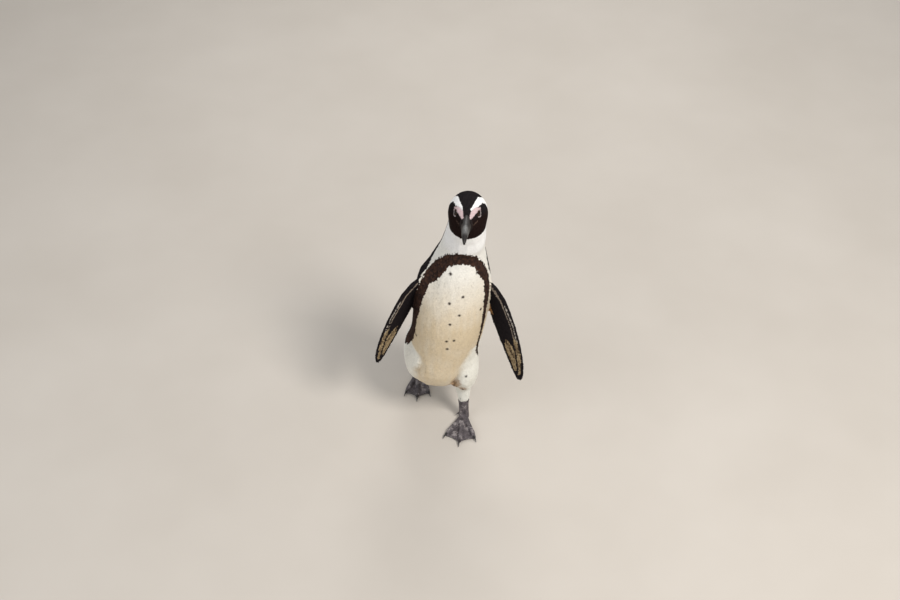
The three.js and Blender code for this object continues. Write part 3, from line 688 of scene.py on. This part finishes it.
RING_PLACES = (0.28, 0.62, 0.88)  # share of a vane's length at its three rings
RING_WIDTHS = (0.62, 1.0, 0.82)
RING_LIFTS = (0.45, 0.80, 0.96)  # height over the skin, as a share of the coat's depth
VANE_SHAFT = (2, 5, 8)  # the vane's vertices on its shaft, on its outer face
ROOT_SINK = -0.25
TIP_LIFT = 0.98
VANE_RIDGE = 0.10  # the shaft's height over the vane's edges, as a share of half its width
VANE_BOW = 0.22  # how far the normals lean out at a vane's edges
VANE_TILT = 0.05  # and how far each vane's normals lean at random
VANE_TURN = 0.06  # how far a vane turns at random from the lie
VANE_SIZES = (0.86, 1.12)
VANE_RISES = (0.90, 1.0)
VANE_SHADES = (0.14, 0.02)  # random shading of dark and of pale feathers
VANE_FADE = [(0, 0.86), (0.6, 0.98), (1, 1.03)]  # shade along a vane
RAGGED = 0.55  # how far the markings' edges stray from feather to feather
STRAY_GAP = 0.3  # gap from the skin at a vane's tip, as a share of its length
STRAY_TURN = 0.6
SHORT_TIP, SHORT_MIDDLE = 0.45, 0.22
PATCH = 0.003  # size of a feather's patch on the OFBake map
MAP_MARGIN = 0.004
VANE_LIMIT = 10500  # feathers in one piece
ROOT_CLEAR, TIP_CLEAR = 0.4, 0.2  # how far feathers keep off the bare skin of the face
BILL_EDGE = 27  # reach forward where the feathers end at the bill


def vane_template():
    """Triangles of one vane: a root, three rings of left edge, shaft and right edge, and a tip."""
    faces = [(0, 2, 1), (0, 3, 2), (0, 1, 3)]
    for ring in range(2):
        a = 1 + 3 * ring
        for p, q in ((0, 1), (1, 2), (2, 0)):
            faces += [(a + p, a + q, a + 3 + q), (a + p, a + 3 + q, a + 3 + p)]
    faces += [(7, 8, 10), (8, 9, 10), (9, 7, 10)]
    across = [0] + [-1, 0, 1] * 3 + [0]
    along = [0] + [p for p in RING_PLACES for _ in range(3)] + [1]
    return np.array(faces), np.array(across, float), np.array(along, float)


def scatter(points, faces, spacing, seed):
    """Places on a surface no nearer to each other than the spacing."""
    group = bpy.data.node_groups.new("scatter", "GeometryNodeTree")
    group.interface.new_socket("Geometry", in_out="INPUT", socket_type="NodeSocketGeometry")
    group.interface.new_socket("Geometry", in_out="OUTPUT", socket_type="NodeSocketGeometry")
    source = group.nodes.new("NodeGroupInput")
    result = group.nodes.new("NodeGroupOutput")
    place = group.nodes.new("GeometryNodeDistributePointsOnFaces")
    place.distribute_method = "POISSON"
    place.inputs["Distance Min"].default_value = spacing
    place.inputs["Density Max"].default_value = 5 / spacing**2
    place.inputs["Seed"].default_value = seed
    vertices = group.nodes.new("GeometryNodePointsToVertices")
    group.links.new(source.outputs[0], place.inputs["Mesh"])
    group.links.new(place.outputs["Points"], vertices.inputs[0])
    group.links.new(vertices.outputs[0], result.inputs[0])
    obj = added("scatter", mesh_of("scatter", points, faces))
    obj.modifiers.new("scatter", "NODES").node_group = group
    mesh = settled(obj)
    bpy.data.node_groups.remove(group)
    return vertices_of(mesh)


class Skin:
    """The finished skin, with what the feathers need to know where they are rooted."""

    def __init__(self, surface, shares):
        self.points = surface.points
        self.faces = surface.faces
        self.shares = shares
        self.vertex_normals = surface.normals()
        self.tree = BVHTree.FromPolygons(self.points.tolist(), self.faces.tolist())

    def nearest(self, places):
        """The nearest places on the skin, their smooth normals and their shares."""
        found = np.empty_like(places)
        face = np.empty(len(places), int)
        for i, place in enumerate(places):
            at, _, index, _ = self.tree.find_nearest(place)
            found[i] = at
            face[i] = index
        corners = self.faces[face]
        normals = unit(self.vertex_normals[corners].mean(1))
        return found, normals, self.shares[corners].mean(1)


def vane_spines(skin, root, normal, way, reach):
    """Each vane's root, middle and tip on the skin, and the normals there.

    A vane that would run out over bare air is cut short and lies straight.
    """
    middle, middle_normal, _ = skin.nearest(root + way * reach * 0.5)
    tip, tip_normal, _ = skin.nearest(root + way * reach)
    astray = np.linalg.norm(tip - root - way * reach, axis=1, keepdims=True) > STRAY_GAP * reach
    astray |= dot(normal, tip_normal) < STRAY_TURN
    tip = np.where(astray, root + way * reach * SHORT_TIP, tip)
    middle = np.where(astray, root + way * reach * SHORT_MIDDLE, middle)
    tip_normal = np.where(astray, normal, tip_normal)
    middle_normal = np.where(astray, normal, middle_normal)
    return (root, middle, tip), (normal, middle_normal, tip_normal)


def vane_colours(name, points, tip, tip_normal, shares, along):
    """Each vane in the colour of the plumage at its tip, darker at its root."""
    ragged = draw.normal(0, RAGGED, len(tip))
    colour = plumage(tip, tip_normal, shares, ragged)
    bright = colour.mean(1, keepdims=True)
    shade = 1 + draw.normal(0, 1, (len(tip), 1)) * mix(*VANE_SHADES, ramp(bright, 0.1, 0.4))
    colour = colour * np.clip(shade, 0.6, 1.5)
    colours = colour[:, None] * read_off(VANE_FADE, along)[None, :, None]
    if name == "trunk":
        colours = spotted(points.reshape(-1, 3), colours.reshape(-1, 3)).reshape(colours.shape)
    return np.clip(colours, 0, 1)


def map_places(name, root, normal, across, along):
    """Each vane's own small patch of the OFBake map, set where it is rooted."""
    flat = unwrap(root, normal, name)
    flat = (flat - flat.min(0)) / (np.ptp(flat, axis=0) + 1e-9)
    offsets = np.stack([across / 2, along - 0.5], 1) * PATCH
    return MAP_MARGIN + (1 - 2 * MAP_MARGIN) * flat[:, None] + offsets[None]


def vanes(skin, name, roots):
    """The vertices, triangles, colours, map places and normals of one part's feathers."""
    faces, across, along = vane_template()
    root, normal, shares = skin.nearest(roots)
    depth, _, length, half_width = (shares @ np.array([COAT[part] for part in FLESH])).T[..., None]
    count = len(root)
    way = lie(root, normal, shares)
    way = unit(way + np.cross(normal, way) * draw.normal(0, VANE_TURN, (count, 1)))
    size = draw.uniform(*VANE_SIZES, (count, 1))
    spine, spine_normals = vane_spines(skin, root, normal, way, length * size)

    u = along[None, :, None]
    weights = [(1 - u) * (1 - 2 * u), 4 * u * (1 - u), u * (2 * u - 1)]
    centre = sum(w * p[:, None] for w, p in zip(weights, spine))
    up = unit(sum(w * p[:, None] for w, p in zip(weights, spine_normals)))
    side = unit(np.cross(way[:, None], up))
    widths = np.interp(along, (0, *RING_PLACES, 1), (0, *RING_WIDTHS, 0))
    lifts = np.interp(along, (0, *RING_PLACES, 1), (ROOT_SINK, *RING_LIFTS, TIP_LIFT))
    ridge = np.where(across == 0, VANE_RIDGE * half_width * widths, 0)
    rise = depth * draw.uniform(*VANE_RISES, (count, 1)) * lifts[None] + ridge * size
    spread = half_width * size * across[None] * widths[None]
    points = centre + side * spread[..., None] + up * rise[..., None]

    colours = vane_colours(name, points, spine[2], spine_normals[2], shares, along)
    places = map_places(name, root, normal, across, along)
    tilt = draw.normal(0, VANE_TILT, (2, count, 1, 1))
    bow = unit(up + (VANE_BOW * across[None, :, None] + tilt[0]) * side + tilt[1] * way[:, None])
    return points, faces, colours, places, bow


def coat_piece(name, points, faces, colours, places, bow, material, slot):
    """One piece of the coat, with its map and its normals, turned over on the vanes' undersides."""
    count, corners = points.shape[:2]
    index = (faces[None] + corners * np.arange(count)[:, None, None]).reshape(-1, 3)
    obj = piece(name, points.reshape(-1, 3), index, material, slot, colours=colours.reshape(-1, 3))
    layer = obj.data.uv_layers.new(name="OFBake")
    layer.data.foreach_set("uv", places.reshape(-1, 2)[index.ravel()].astype(np.float32).ravel())
    under = ~np.isin(faces, VANE_SHAFT).any(1)
    corner_normals = bow[:, faces] * np.where(under, -1, 1)[None, :, None, None]
    obj.data.normals_split_custom_set(corner_normals.reshape(-1, 3).tolist())


def feather_roots(skin, name, seed):
    """Where one part's feathers grow: everywhere but on the bare skin of the face."""
    owner = skin.shares.argmax(1)[skin.faces[:, 0]]
    chosen = skin.faces[owner == FLESH.index(name)]
    used, renumbered = np.unique(chosen, return_inverse=True)
    roots = scatter(skin.points[used], renumbered.reshape(-1, 4), COAT[name][1], seed)
    if name == "head":
        forward, left, _ = head_places(roots)
        tips = roots + unit(roots - BILL_ROOT) * COAT[name][2] * 0.75
        clear = (bareness(roots) > ROOT_CLEAR) & (bareness(tips) > TIP_CLEAR)
        roots = roots[clear & (forward - 0.25 * np.abs(left) < BILL_EDGE)]
    return roots


def build_coat(skin, material):
    """The feathers of every part, in pieces that each stay under the limit."""
    for seed, name in enumerate(FLESH):
        roots = feather_roots(skin, name, seed + 3)
        order = np.argsort(roots[:, 2])
        parts = math.ceil(len(roots) / VANE_LIMIT)
        slot = "white_plumage" if name in ("neck", "trunk", "leg_left", "leg_right") else "black_plumage"
        for k, chosen in enumerate(np.array_split(order, parts)):
            made = vanes(skin, name, roots[chosen])
            suffix = "" if parts == 1 else f"_{k + 1}"
            coat_piece(f"coat_{name}{suffix}", *made, material, slot)


# ---- materials

SCUTES = 520  # how fine the scutes of the feet are


class Material:
    """A node material built step by step."""

    def __init__(self, name, **sockets):
        self.material = bpy.data.materials.new(name)
        self.material.use_nodes = True
        self.nodes = self.material.node_tree.nodes
        self.links = self.material.node_tree.links
        self.shader = self.nodes["Principled BSDF"]
        for socket, value in sockets.items():
            self.shader.inputs[socket.replace("_", " ")].default_value = value
        self.place = self.nodes.new("ShaderNodeTexCoord").outputs["Object"]

    def noise(self, scale, detail=4.0, rough=0.55, stretch=None):
        node = self.nodes.new("ShaderNodeTexNoise")
        node.inputs["Scale"].default_value = scale
        node.inputs["Detail"].default_value = detail
        node.inputs["Roughness"].default_value = rough
        self.links.new(self.stretched(stretch), node.inputs["Vector"])
        return node.outputs["Fac"]

    def cells(self, scale, feature="DISTANCE_TO_EDGE", stretch=None):
        node = self.nodes.new("ShaderNodeTexVoronoi")
        node.feature = feature
        node.inputs["Scale"].default_value = scale
        self.links.new(self.stretched(stretch), node.inputs["Vector"])
        return node.outputs["Distance"]

    def stretched(self, stretch):
        if stretch is None:
            return self.place
        node = self.nodes.new("ShaderNodeMapping")
        node.inputs["Scale"].default_value = stretch
        self.links.new(self.place, node.inputs["Vector"])
        return node.outputs["Vector"]

    def ramp(self, value, *stops):
        node = self.nodes.new("ShaderNodeValToRGB")
        elements = node.color_ramp.elements
        while len(elements) < len(stops):
            elements.new(0.5)
        for element, (place, colour) in zip(elements, stops):
            element.position = place
            element.color = (*colour, 1) if len(colour) == 3 else (*colour * 3, 1)
        self.links.new(value, node.inputs["Fac"])
        return node.outputs["Color"]

    def speckle(self, scale, low, high, detail=4.0):
        """Noise as greys between two values."""
        return self.ramp(self.noise(scale, detail), (0.3, (low,)), (0.7, (high,)))

    def plumage(self, tone):
        """The vertex colours, multiplied by a tone."""
        node = self.nodes.new("ShaderNodeAttribute")
        node.attribute_name = "plumage"
        return self.mixed("MULTIPLY", 1.0, node.outputs["Color"], tone)

    def mixed(self, kind, share, a, b):
        node = self.nodes.new("ShaderNodeMix")
        node.data_type = "RGBA"
        node.blend_type = kind
        colours = [s for s in node.inputs if s.type == "RGBA"]
        for socket, value in ((node.inputs["Factor"], share), (colours[0], a), (colours[1], b)):
            if isinstance(value, bpy.types.NodeSocket):
                self.links.new(value, socket)
            else:
                socket.default_value = value
        return next(s for s in node.outputs if s.type == "RGBA")

    def bump(self, height, strength, distance, after=None):
        node = self.nodes.new("ShaderNodeBump")
        node.inputs["Strength"].default_value = strength
        node.inputs["Distance"].default_value = distance
        self.links.new(height, node.inputs["Height"])
        if after is not None:
            self.links.new(after, node.inputs["Normal"])
        return node.outputs["Normal"]

    def finish(self, colour=None, roughness=None, normal=None):
        for value, socket in ((colour, "Base Color"), (roughness, "Roughness"), (normal, "Normal")):
            if value is not None:
                self.links.new(value, self.shader.inputs[socket])
        return self.material


def plumage_material():
    made = Material("feathers", Roughness=0.7, Specular_IOR_Level=0.012)
    colour = made.plumage(made.speckle(420, 0.92, 1.0))
    rough = made.speckle(900, 0.6, 0.8)
    return made.finish(colour, rough, made.bump(made.noise(2600, 2), 0.25, 0.0003))


def skin_material():
    made = Material("penguin_skin", Roughness=0.6, Specular_IOR_Level=0.16)
    colour = made.plumage(made.speckle(600, 0.8, 1.0))
    grain = made.bump(made.cells(1900), 0.5, 0.0004)
    normal = made.bump(made.noise(700), 0.4, 0.0006, after=grain)
    return made.finish(colour, made.speckle(1500, 0.55, 0.75), normal)


def foot_material():
    made = Material("foot_scutes", Specular_IOR_Level=0.45)
    dark = made.ramp(made.noise(160), (0.3, (0.05, 0.041, 0.045)), (0.75, (0.20, 0.17, 0.18)))
    patches = made.ramp(made.noise(85, 5, 0.66), (0.53, (0.0,)), (0.63, (1.0,)))
    colour = made.mixed("MIX", patches, dark, (0.42, 0.375, 0.37, 1))
    seams = made.ramp(made.cells(SCUTES), (0.0, (0.45,)), (0.12, (1.0,)))
    colour = made.mixed("MULTIPLY", 1.0, colour, seams)
    scutes = made.bump(made.ramp(made.cells(SCUTES), (0.0, (0.0,)), (0.22, (1.0,))), 0.8, 0.0006)
    normal = made.bump(made.noise(1800), 0.3, 0.0003, after=scutes)
    return made.finish(colour, made.speckle(300, 0.42, 0.62), normal)


def horn_material():
    made = Material("horn", Specular_IOR_Level=0.28)
    streaks = made.noise(260, 5, 0.6, stretch=(1.0, 0.18, 0.6))
    colour = made.plumage(made.ramp(streaks, (0.3, (0.7,)), (0.75, (1.25,))))
    pits = made.bump(made.noise(1500), 0.2, 0.0002, after=made.bump(streaks, 0.35, 0.0005))
    return made.finish(colour, made.speckle(350, 0.36, 0.55), pits)


def claw_material():
    made = Material("claw", Specular_IOR_Level=0.5)
    grain = made.noise(500, 4, 0.6, stretch=(1.0, 0.2, 1.0))
    colour = made.ramp(grain, (0.3, (0.012, 0.010, 0.010)), (0.75, (0.05, 0.042, 0.04)))
    rough = made.ramp(grain, (0.3, (0.3,)), (0.7, (0.5,)))
    return made.finish(colour, rough, made.bump(grain, 0.3, 0.0003))


def eye_material():
    gloss = {"Coat_Weight": 0.12, "Coat_Roughness": 0.02}
    made = Material("eye_surface", Roughness=0.12, Specular_IOR_Level=0.22, **gloss)
    return made.finish(made.plumage(made.speckle(1400, 0.75, 1.25, 3)), made.speckle(900, 0.08, 0.16))


# ---- the skin

def build_skin(material):
    points, faces = remeshed(FLESH, SKIN_VOXEL, SEAM_FILL)
    surface = Surface(points, faces)
    surface.smooth(SKIN_ROUNDS)
    shares = part_shares(surface)
    depth = shares @ np.array([COAT[name][0] for name in FLESH])
    gap, crease = from_crease(surface.points)
    depth = depth + SEAM_FILL + crease * hump(gap, 0, CREASE_WIDTH)
    surface.points = surface.points - surface.normals() * depth[:, None]
    surface.smooth(4)
    skin = Skin(surface, shares)
    normals = skin.vertex_normals
    colours = spotted(skin.points, plumage(skin.points, normals, shares, np.zeros(len(skin.points))))
    colours = colours * SKIN_SHADE
    on_face = (shares.argmax(1) == FLESH.index("head")) & (bareness(skin.points) < 0.3)
    rosy = PINK * (1 + 0.12 * wobble(skin.points, 5))[:, None]
    colours[on_face] = rosy[on_face]
    piece("skin", skin.points, skin.faces, material, "white_plumage", FLESH, colours)
    return skin


# ---- eyes and lids

IRIS_EDGE = 5.3  # radius of the iris
PUPIL = 2.5
CORNEA = 0.35  # how far the cornea stands out
IRIS = np.array([0.036, 0.015, 0.009])
PUPIL_BLACK = np.array([0.004, 0.003, 0.003])
AROUND = 56
OPENING = (5.6, 5.0)  # half the lids' opening, forward and up
SQUINT = (0.10, 0.12)  # how far its front and rear corners are drawn out
RIM = ((-0.5, -0.25), (-0.15, 0.2), (0.1, 0.55), (0.5, 0.7), (1.0, 0.5))  # reach past it, and height
FOLD = ((0.2, -0.25), (0.45, 0.3), (0.75, 0.15))  # share of the way to the face, and rise
SKIRT = ((7.8, 0.25), (8.6, 0.0), (9.6, -0.7))  # distance from the line of sight, and lift
LID_INSIDE = np.array([0.03, 0.018, 0.018])
LID_THICKNESS = 0.3


def build_eye(side, material):
    """The eyeball, its rings round the line of sight, with pupil, iris and a low cornea."""
    middle, look, forward, up = eye_axes(side)
    slope = np.concatenate([np.linspace(0.5, 50, 40), np.linspace(54, 179.5, 24)])
    polar = np.radians(slope)
    out = EYE_RADIUS * np.sin(polar)
    bulge = CORNEA * np.clip(1 - (out / IRIS_EDGE) ** 2, 0, 1) * (slope < 90)
    _, across = spokes(AROUND, forward, up)
    rings = [
        middle + r * (math.cos(angle) * look + math.sin(angle) * across)
        for angle, r in zip(polar, EYE_RADIUS - CORNEA + bulge)
    ]
    points, faces = loft(rings)
    offset = points - middle
    ahead, radial = from_axis(offset, look)
    angle = np.arctan2(offset @ up, offset @ forward)
    iris = IRIS * (1 + 0.35 * np.sin(23 * angle) * np.sin(9 * angle + 1))[:, None]
    iris = iris * mix(1.25, 0.55, ramp(radial, PUPIL, IRIS_EDGE))[:, None]
    pupil = 1 - ramp(radial, PUPIL - 0.15, PUPIL + 0.15)
    dark = np.maximum(pupil, ramp(radial, IRIS_EDGE - 0.5, IRIS_EDGE))
    colours = mix(iris, PUPIL_BLACK, np.where(ahead > 0, dark, 1)[:, None])
    piece(f"eyeball_{side}", points, faced_out(points, faces), material, "eye", (f"eye_{side}",), colours)


def lid_rings(skin, side):
    """Rings from the rolled rim of the lids, over folded skin, out to the face."""
    middle, look, forward, up = eye_axes(side)
    turn, heading = spokes(AROUND, forward, up)
    front, rear = (share * np.clip(way * np.cos(turn), 0, 1) ** 4 for share, way in zip(SQUINT, (1, -1)))
    opening = 1 / np.hypot(np.cos(turn) / OPENING[0], np.sin(turn) / OPENING[1]) * (1 + front + rear)

    def on_ball(extra_reach, height):
        reach = (opening + extra_reach)[:, None]
        return middle + heading * reach + look * np.sqrt((EYE_RADIUS + height) ** 2 - reach**2)

    def on_face(reach, lift):
        starts = middle + heading * reach
        hits = [skin.tree.ray_cast(start + look * 22, -look)[0] for start in starts]
        spots = [start + look * 5 if hit is None else hit for start, hit in zip(starts, hits)]
        return np.array(spots) + look * lift

    rim = [on_ball(*row) for row in RIM]
    skirt = [on_face(*row) for row in SKIRT]
    fold = [mix(rim[-1], skirt[0], share) + look * rise for share, rise in FOLD]
    return rim + fold + skirt


def build_lids(skin, side, material):
    """The eye's lids: pale at the rim, pink beyond, and marked as the head is past the bare skin."""
    middle, look, _, _ = eye_axes(side)
    points, faces = loft(lid_rings(skin, side), closed=False)
    _, radial = from_axis(points - middle, look)
    colours = mix(LID_PALE, PINK, ramp(radial, 6.4, 7.6)[:, None])
    coat = head_colours(points, np.zeros(len(points)))
    colours = mix(colours, coat, ramp(bareness(points), -0.2, 0.3)[:, None])
    colours = mix(LID_INSIDE, colours, ramp(radial, 5.0, 5.9)[:, None])
    lid = piece(f"eyelids_{side}", points, faces, material, "foot_skin", colours=colours)
    thick = lid.modifiers.new("thick", "SOLIDIFY")
    thick.thickness = LID_THICKNESS * MM
    thick.offset = -SIDES[side]


# ---- bill

# For each half of the bill: rows of reach forward, top, bottom and half width; the power of its
# arch; and its groove's depth, start, full depth from and to, end, height on the side and width.
BILL = {
    "upper": (
        [
            (14, 7.5, -14.5, 10), (26, 5.2, -14, 8.8), (38, 2.6, -13.4, 7.4), (50, 0.2, -13, 6.5),
            (60, -2.6, -13, 5.9), (70, -6.8, -14, 5), (78, -12, -16.8, 3.6), (82.5, -16.5, -20.5, 2.3),
            (84.5, -20.5, -23.2, 0.9),
        ],
        0.85,
        (0.45, 20, 28, 56, 66, 0.62, 0.09),
    ),
    "lower": (
        [
            (16, -14.5, -26.5, 8.6), (28, -14, -25.8, 7.4), (40, -13.4, -25, 6.3), (52, -13, -24, 5.5),
            (62, -13, -22.4, 4.8), (70, -14, -19.8, 3.6), (75.5, -15.8, -18.2, 1.8),
        ],
        0.75,
        (0.35, 18, 26, 50, 60, 0.45, 0.10),
    ),
}
NOSTRIL = (34, 4.5, 0.5, 0.10)  # reach forward, half length, height on the side and width
RIBS = (0.10, 1.9, (40, 48, 62, 70))  # depth, turns for each millimetre, and where they are
LIP = 0.06  # how far the inner side arches
BILL_GAP = 0.02
BILL_RINGS = 90
BILL_AROUND = 44
BILL_DARK = np.array([0.020, 0.017, 0.016])
# grey of the pale band, and of the painted sheen and highlight along the bill's top
BILL_GREY = np.array([0.22, 0.22, 0.215])
PALE_BAND = (51, 58, 68, 76)
# where the painted sheen along the top of the bill rises, is full and fades: reach forward
PAINTED_SHEEN = (26, 44, 60, 72)


def curve_through(rows, at):
    """Smooth values between rows whose first column is the place along them."""
    rows = np.asarray(rows, float)
    first, rest = rows[:, 0], rows[:, 1:]
    slopes = np.empty_like(rest)
    for i in range(len(rows)):
        a, b = max(i - 1, 0), min(i + 1, len(rows) - 1)
        slopes[i] = (rest[b] - rest[a]) / (first[b] - first[a])
    i = np.clip(np.searchsorted(first, at, "right") - 1, 0, len(rows) - 2)
    span = (first[i + 1] - first[i])[:, None]
    t = ((at - first[i])[:, None]) / span
    bend = t * (1 - t) ** 2 * slopes[i] + t * t * (t - 1) * slopes[i + 1]
    return (1 + 2 * t) * (1 - t) ** 2 * rest[i] + t * t * (3 - 2 * t) * rest[i + 1] + span * bend


def bill_ring(half, forward, crown, edge, width):
    """One ring of half the bill: its grooved and ribbed outside, and the lip along its edge."""
    _, arch, (depth, start, full, ease, end, level, spread) = BILL[half]
    turn = np.linspace(0, math.pi, BILL_AROUND)
    side = np.sin(turn)
    groove = depth * window(forward, start, full, ease, end) * hump(side, level, spread)
    if half == "upper":
        reach, length, level, spread = NOSTRIL
        groove = groove + hump(forward, reach, length, 4) * hump(side, level, spread)
    ribs = RIBS[0] * math.sin(forward * RIBS[1]) * window(forward, *RIBS[2])
    shrink = 1 - (groove + np.abs(ribs) * side) / max(width, 1)
    inner = np.linspace(-1, 1, 12)[1:-1]
    left = np.concatenate([width * np.cos(turn) * shrink, inner * width])
    rise = (crown - edge) * np.concatenate([side**arch * mix(1, shrink, 0.6), LIP * (1 - inner**2)])
    return on_head(np.full(len(left), forward), left, edge + rise)


def bill_colours(half, points):
    """Dark horn, with a pale band before the tip and a greyer ridge; the band is brighter on the top as a
    painted highlight, and the ridge's grey is a painted sheen.
    """
    forward, left, _ = head_places(points)
    # ridge: how much a place is on the bill's top, where the painted highlight and sheen fall; the lower half
    # takes a fixed share
    ridge = ramp(np.abs(left), 5.5, 1.0) if half == "upper" else np.full(len(points), 0.4)
    share = 0.62 * window(forward, *PALE_BAND) * mix(0.55, 1, ridge)
    share = np.clip(share + 0.22 * ridge * window(forward, *PAINTED_SHEEN), 0, 0.9)
    share = share * (0.85 + 0.25 * wobble(points, 6))
    return mix(BILL_DARK, BILL_GREY, np.clip(share, 0, 1)[:, None])


def build_bill(material):
    for half in BILL:
        rows = BILL[half][0]
        start, end = rows[0][0], rows[-1][0]
        steps = start + (end - start) * np.linspace(0, 1, BILL_RINGS) ** 0.9
        top, bottom, width = curve_through(rows, steps).T
        ends = (top, bottom + BILL_GAP) if half == "upper" else (bottom, top - BILL_GAP)
        points, faces = loft([bill_ring(half, *row) for row in zip(steps, *ends, width)])
        colours = bill_colours(half, points)
        faces = faced_out(points, faces)
        piece(f"beak_{half}", points, faces, material, "horn", (f"bill_{half}",), colours)


# ---- feet and claws

ANKLE = {"left": (25.2, -19, 48), "right": (-58.5, 92, 46)}
SHANK_TOP = {"left": (23, -13, 88), "right": (-57, 42, 96)}
FOOT_VOXEL = 0.8
FOOT_SWELL = 0.15  # how far tarsus and foot are swelled until they are one
CLAW_VOXEL = 0.4
CORE_RINGS = [(-9, 6), (-6, 8), (-1, 8), (5, 6.8), (18, 5.6)]  # place along the leg, and radius
TOE_NAMES = ("inner", "middle", "outer")


def shank_core(side):
    """The bare leg's end inside the feathers, bent at the ankle."""
    low, high = np.array(ANKLE[side], float), np.array(SHANK_TOP[side], float)
    axis = unit(high - low)
    across = np.array([1.0, 0, 0])
    rings = []
    for along, radius in CORE_RINGS:
        way = axis if along > 0 else np.array([0, 0, 1.0])
        _, ring = spokes(12, across, np.cross(way, across))
        rings.append(low + way * along + ring * radius)
    return loft(rings)


def smoothed(nodes, voxel, rounds, swell=0.0, extra=()):
    """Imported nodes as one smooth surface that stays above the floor."""
    surface = Surface(*remeshed(nodes, voxel, swell, extra))
    surface.smooth(rounds)
    surface.points = surface.points - surface.normals() * swell
    surface.points[:, 2] = np.maximum(surface.points[:, 2], 0.0)
    return surface.points, surface.faces


def build_foot(side, skin_of_foot, horn):
    nodes = (f"tarsus_{side}", f"foot_{side}")
    points, faces = smoothed(nodes, FOOT_VOXEL, 10, FOOT_SWELL, [shank_core(side)])
    piece(f"foot_skin_{side}", points, faces, skin_of_foot, "foot_skin", nodes)
    for toe in TOE_NAMES:
        node = f"claw_{side}_{toe}"
        piece(f"nail_{side}_{toe}", *smoothed((node,), CLAW_VOXEL, 6), horn, "claw", (node,))


# ---- floor, light and camera

FLOOR_SIZE, FLOOR_LEVEL = 6.0, -0.0002
# Each light's place, size, power and colour.
LIGHTS = {
    "key": ((1.3, -1.3, 2.3), 0.9, 58, (1.0, 0.97, 0.93)),
    "fill": ((-1.6, -1.2, 1.3), 1.8, 12, (0.95, 0.97, 1.0)),
    "rim": ((0.2, 1.7, 1.7), 1.2, 16, (1.0, 0.98, 0.95)),
}
LIGHT_TARGET = (0.0, 0.0, 0.27)


def build_floor():
    ways = ((-1, -1), (1, -1), (1, 1), (-1, 1))
    corners = np.array([(FLOOR_SIZE * x, FLOOR_SIZE * y, FLOOR_LEVEL) for x, y in ways])
    mesh = mesh_of("floor", corners, [(0, 1, 2, 3)])
    made = Material("pale_floor", Roughness=0.9, Specular_IOR_Level=0.2)
    colour = made.ramp(made.noise(3.0, 3), (0.3, (0.54, 0.495, 0.44)), (0.7, (0.58, 0.535, 0.48)))
    mesh.materials.append(made.finish(colour))
    floor = added("floor", mesh)


def looking(way):
    return Vector(way).to_track_quat("-Z", "Y").to_euler()


def build_light(name, place, size, power, colour):
    light = bpy.data.lights.new(name, "AREA")
    light.shape = "DISK"
    light.size = size
    light.energy = power
    light.color = colour
    obj = added(name, light)
    obj.location = place
    obj.rotation_euler = looking(np.array(LIGHT_TARGET) - np.array(place))


CAMERA_ELEVATION = math.radians(42)
CAMERA_DISTANCE = 2520.0
CAMERA_TARGET = np.array([0, 0, 272.0])
CAMERA_FOCUS = 1430.0  # focal length in pixels of the 900-pixel wide picture
PICTURE_WIDTH = 900


def build_camera():
    camera = bpy.data.cameras.new("camera")
    camera.sensor_width = 36.0
    camera.lens = CAMERA_FOCUS * camera.sensor_width / PICTURE_WIDTH
    camera.clip_end = 50
    obj = added("camera", camera)
    back = np.array([0, -math.cos(CAMERA_ELEVATION), math.sin(CAMERA_ELEVATION)])
    obj.location = (CAMERA_TARGET + CAMERA_DISTANCE * back + SHIFT) * MM
    obj.rotation_euler = looking(-back)
    bpy.context.scene.camera = obj


def build_studio():
    build_floor()
    for name, light in LIGHTS.items():
        build_light(name, *light)
    world = bpy.data.worlds.new("studio")
    world.use_nodes = True
    sky = world.node_tree.nodes["Background"].inputs
    sky["Color"].default_value = (0.95, 0.97, 1.0, 1)
    sky["Strength"].default_value = 0.45
    bpy.context.scene.world = world
    bpy.context.scene.view_settings.view_transform = "Standard"
    build_camera()


# ---- the penguin

build_studio()
skin = build_skin(skin_material())
build_coat(skin, plumage_material())
for side in SIDES:
    build_eye(side, eye_material())
    build_lids(skin, side, skin_material())
    build_foot(side, foot_material(), claw_material())
build_bill(horn_material())
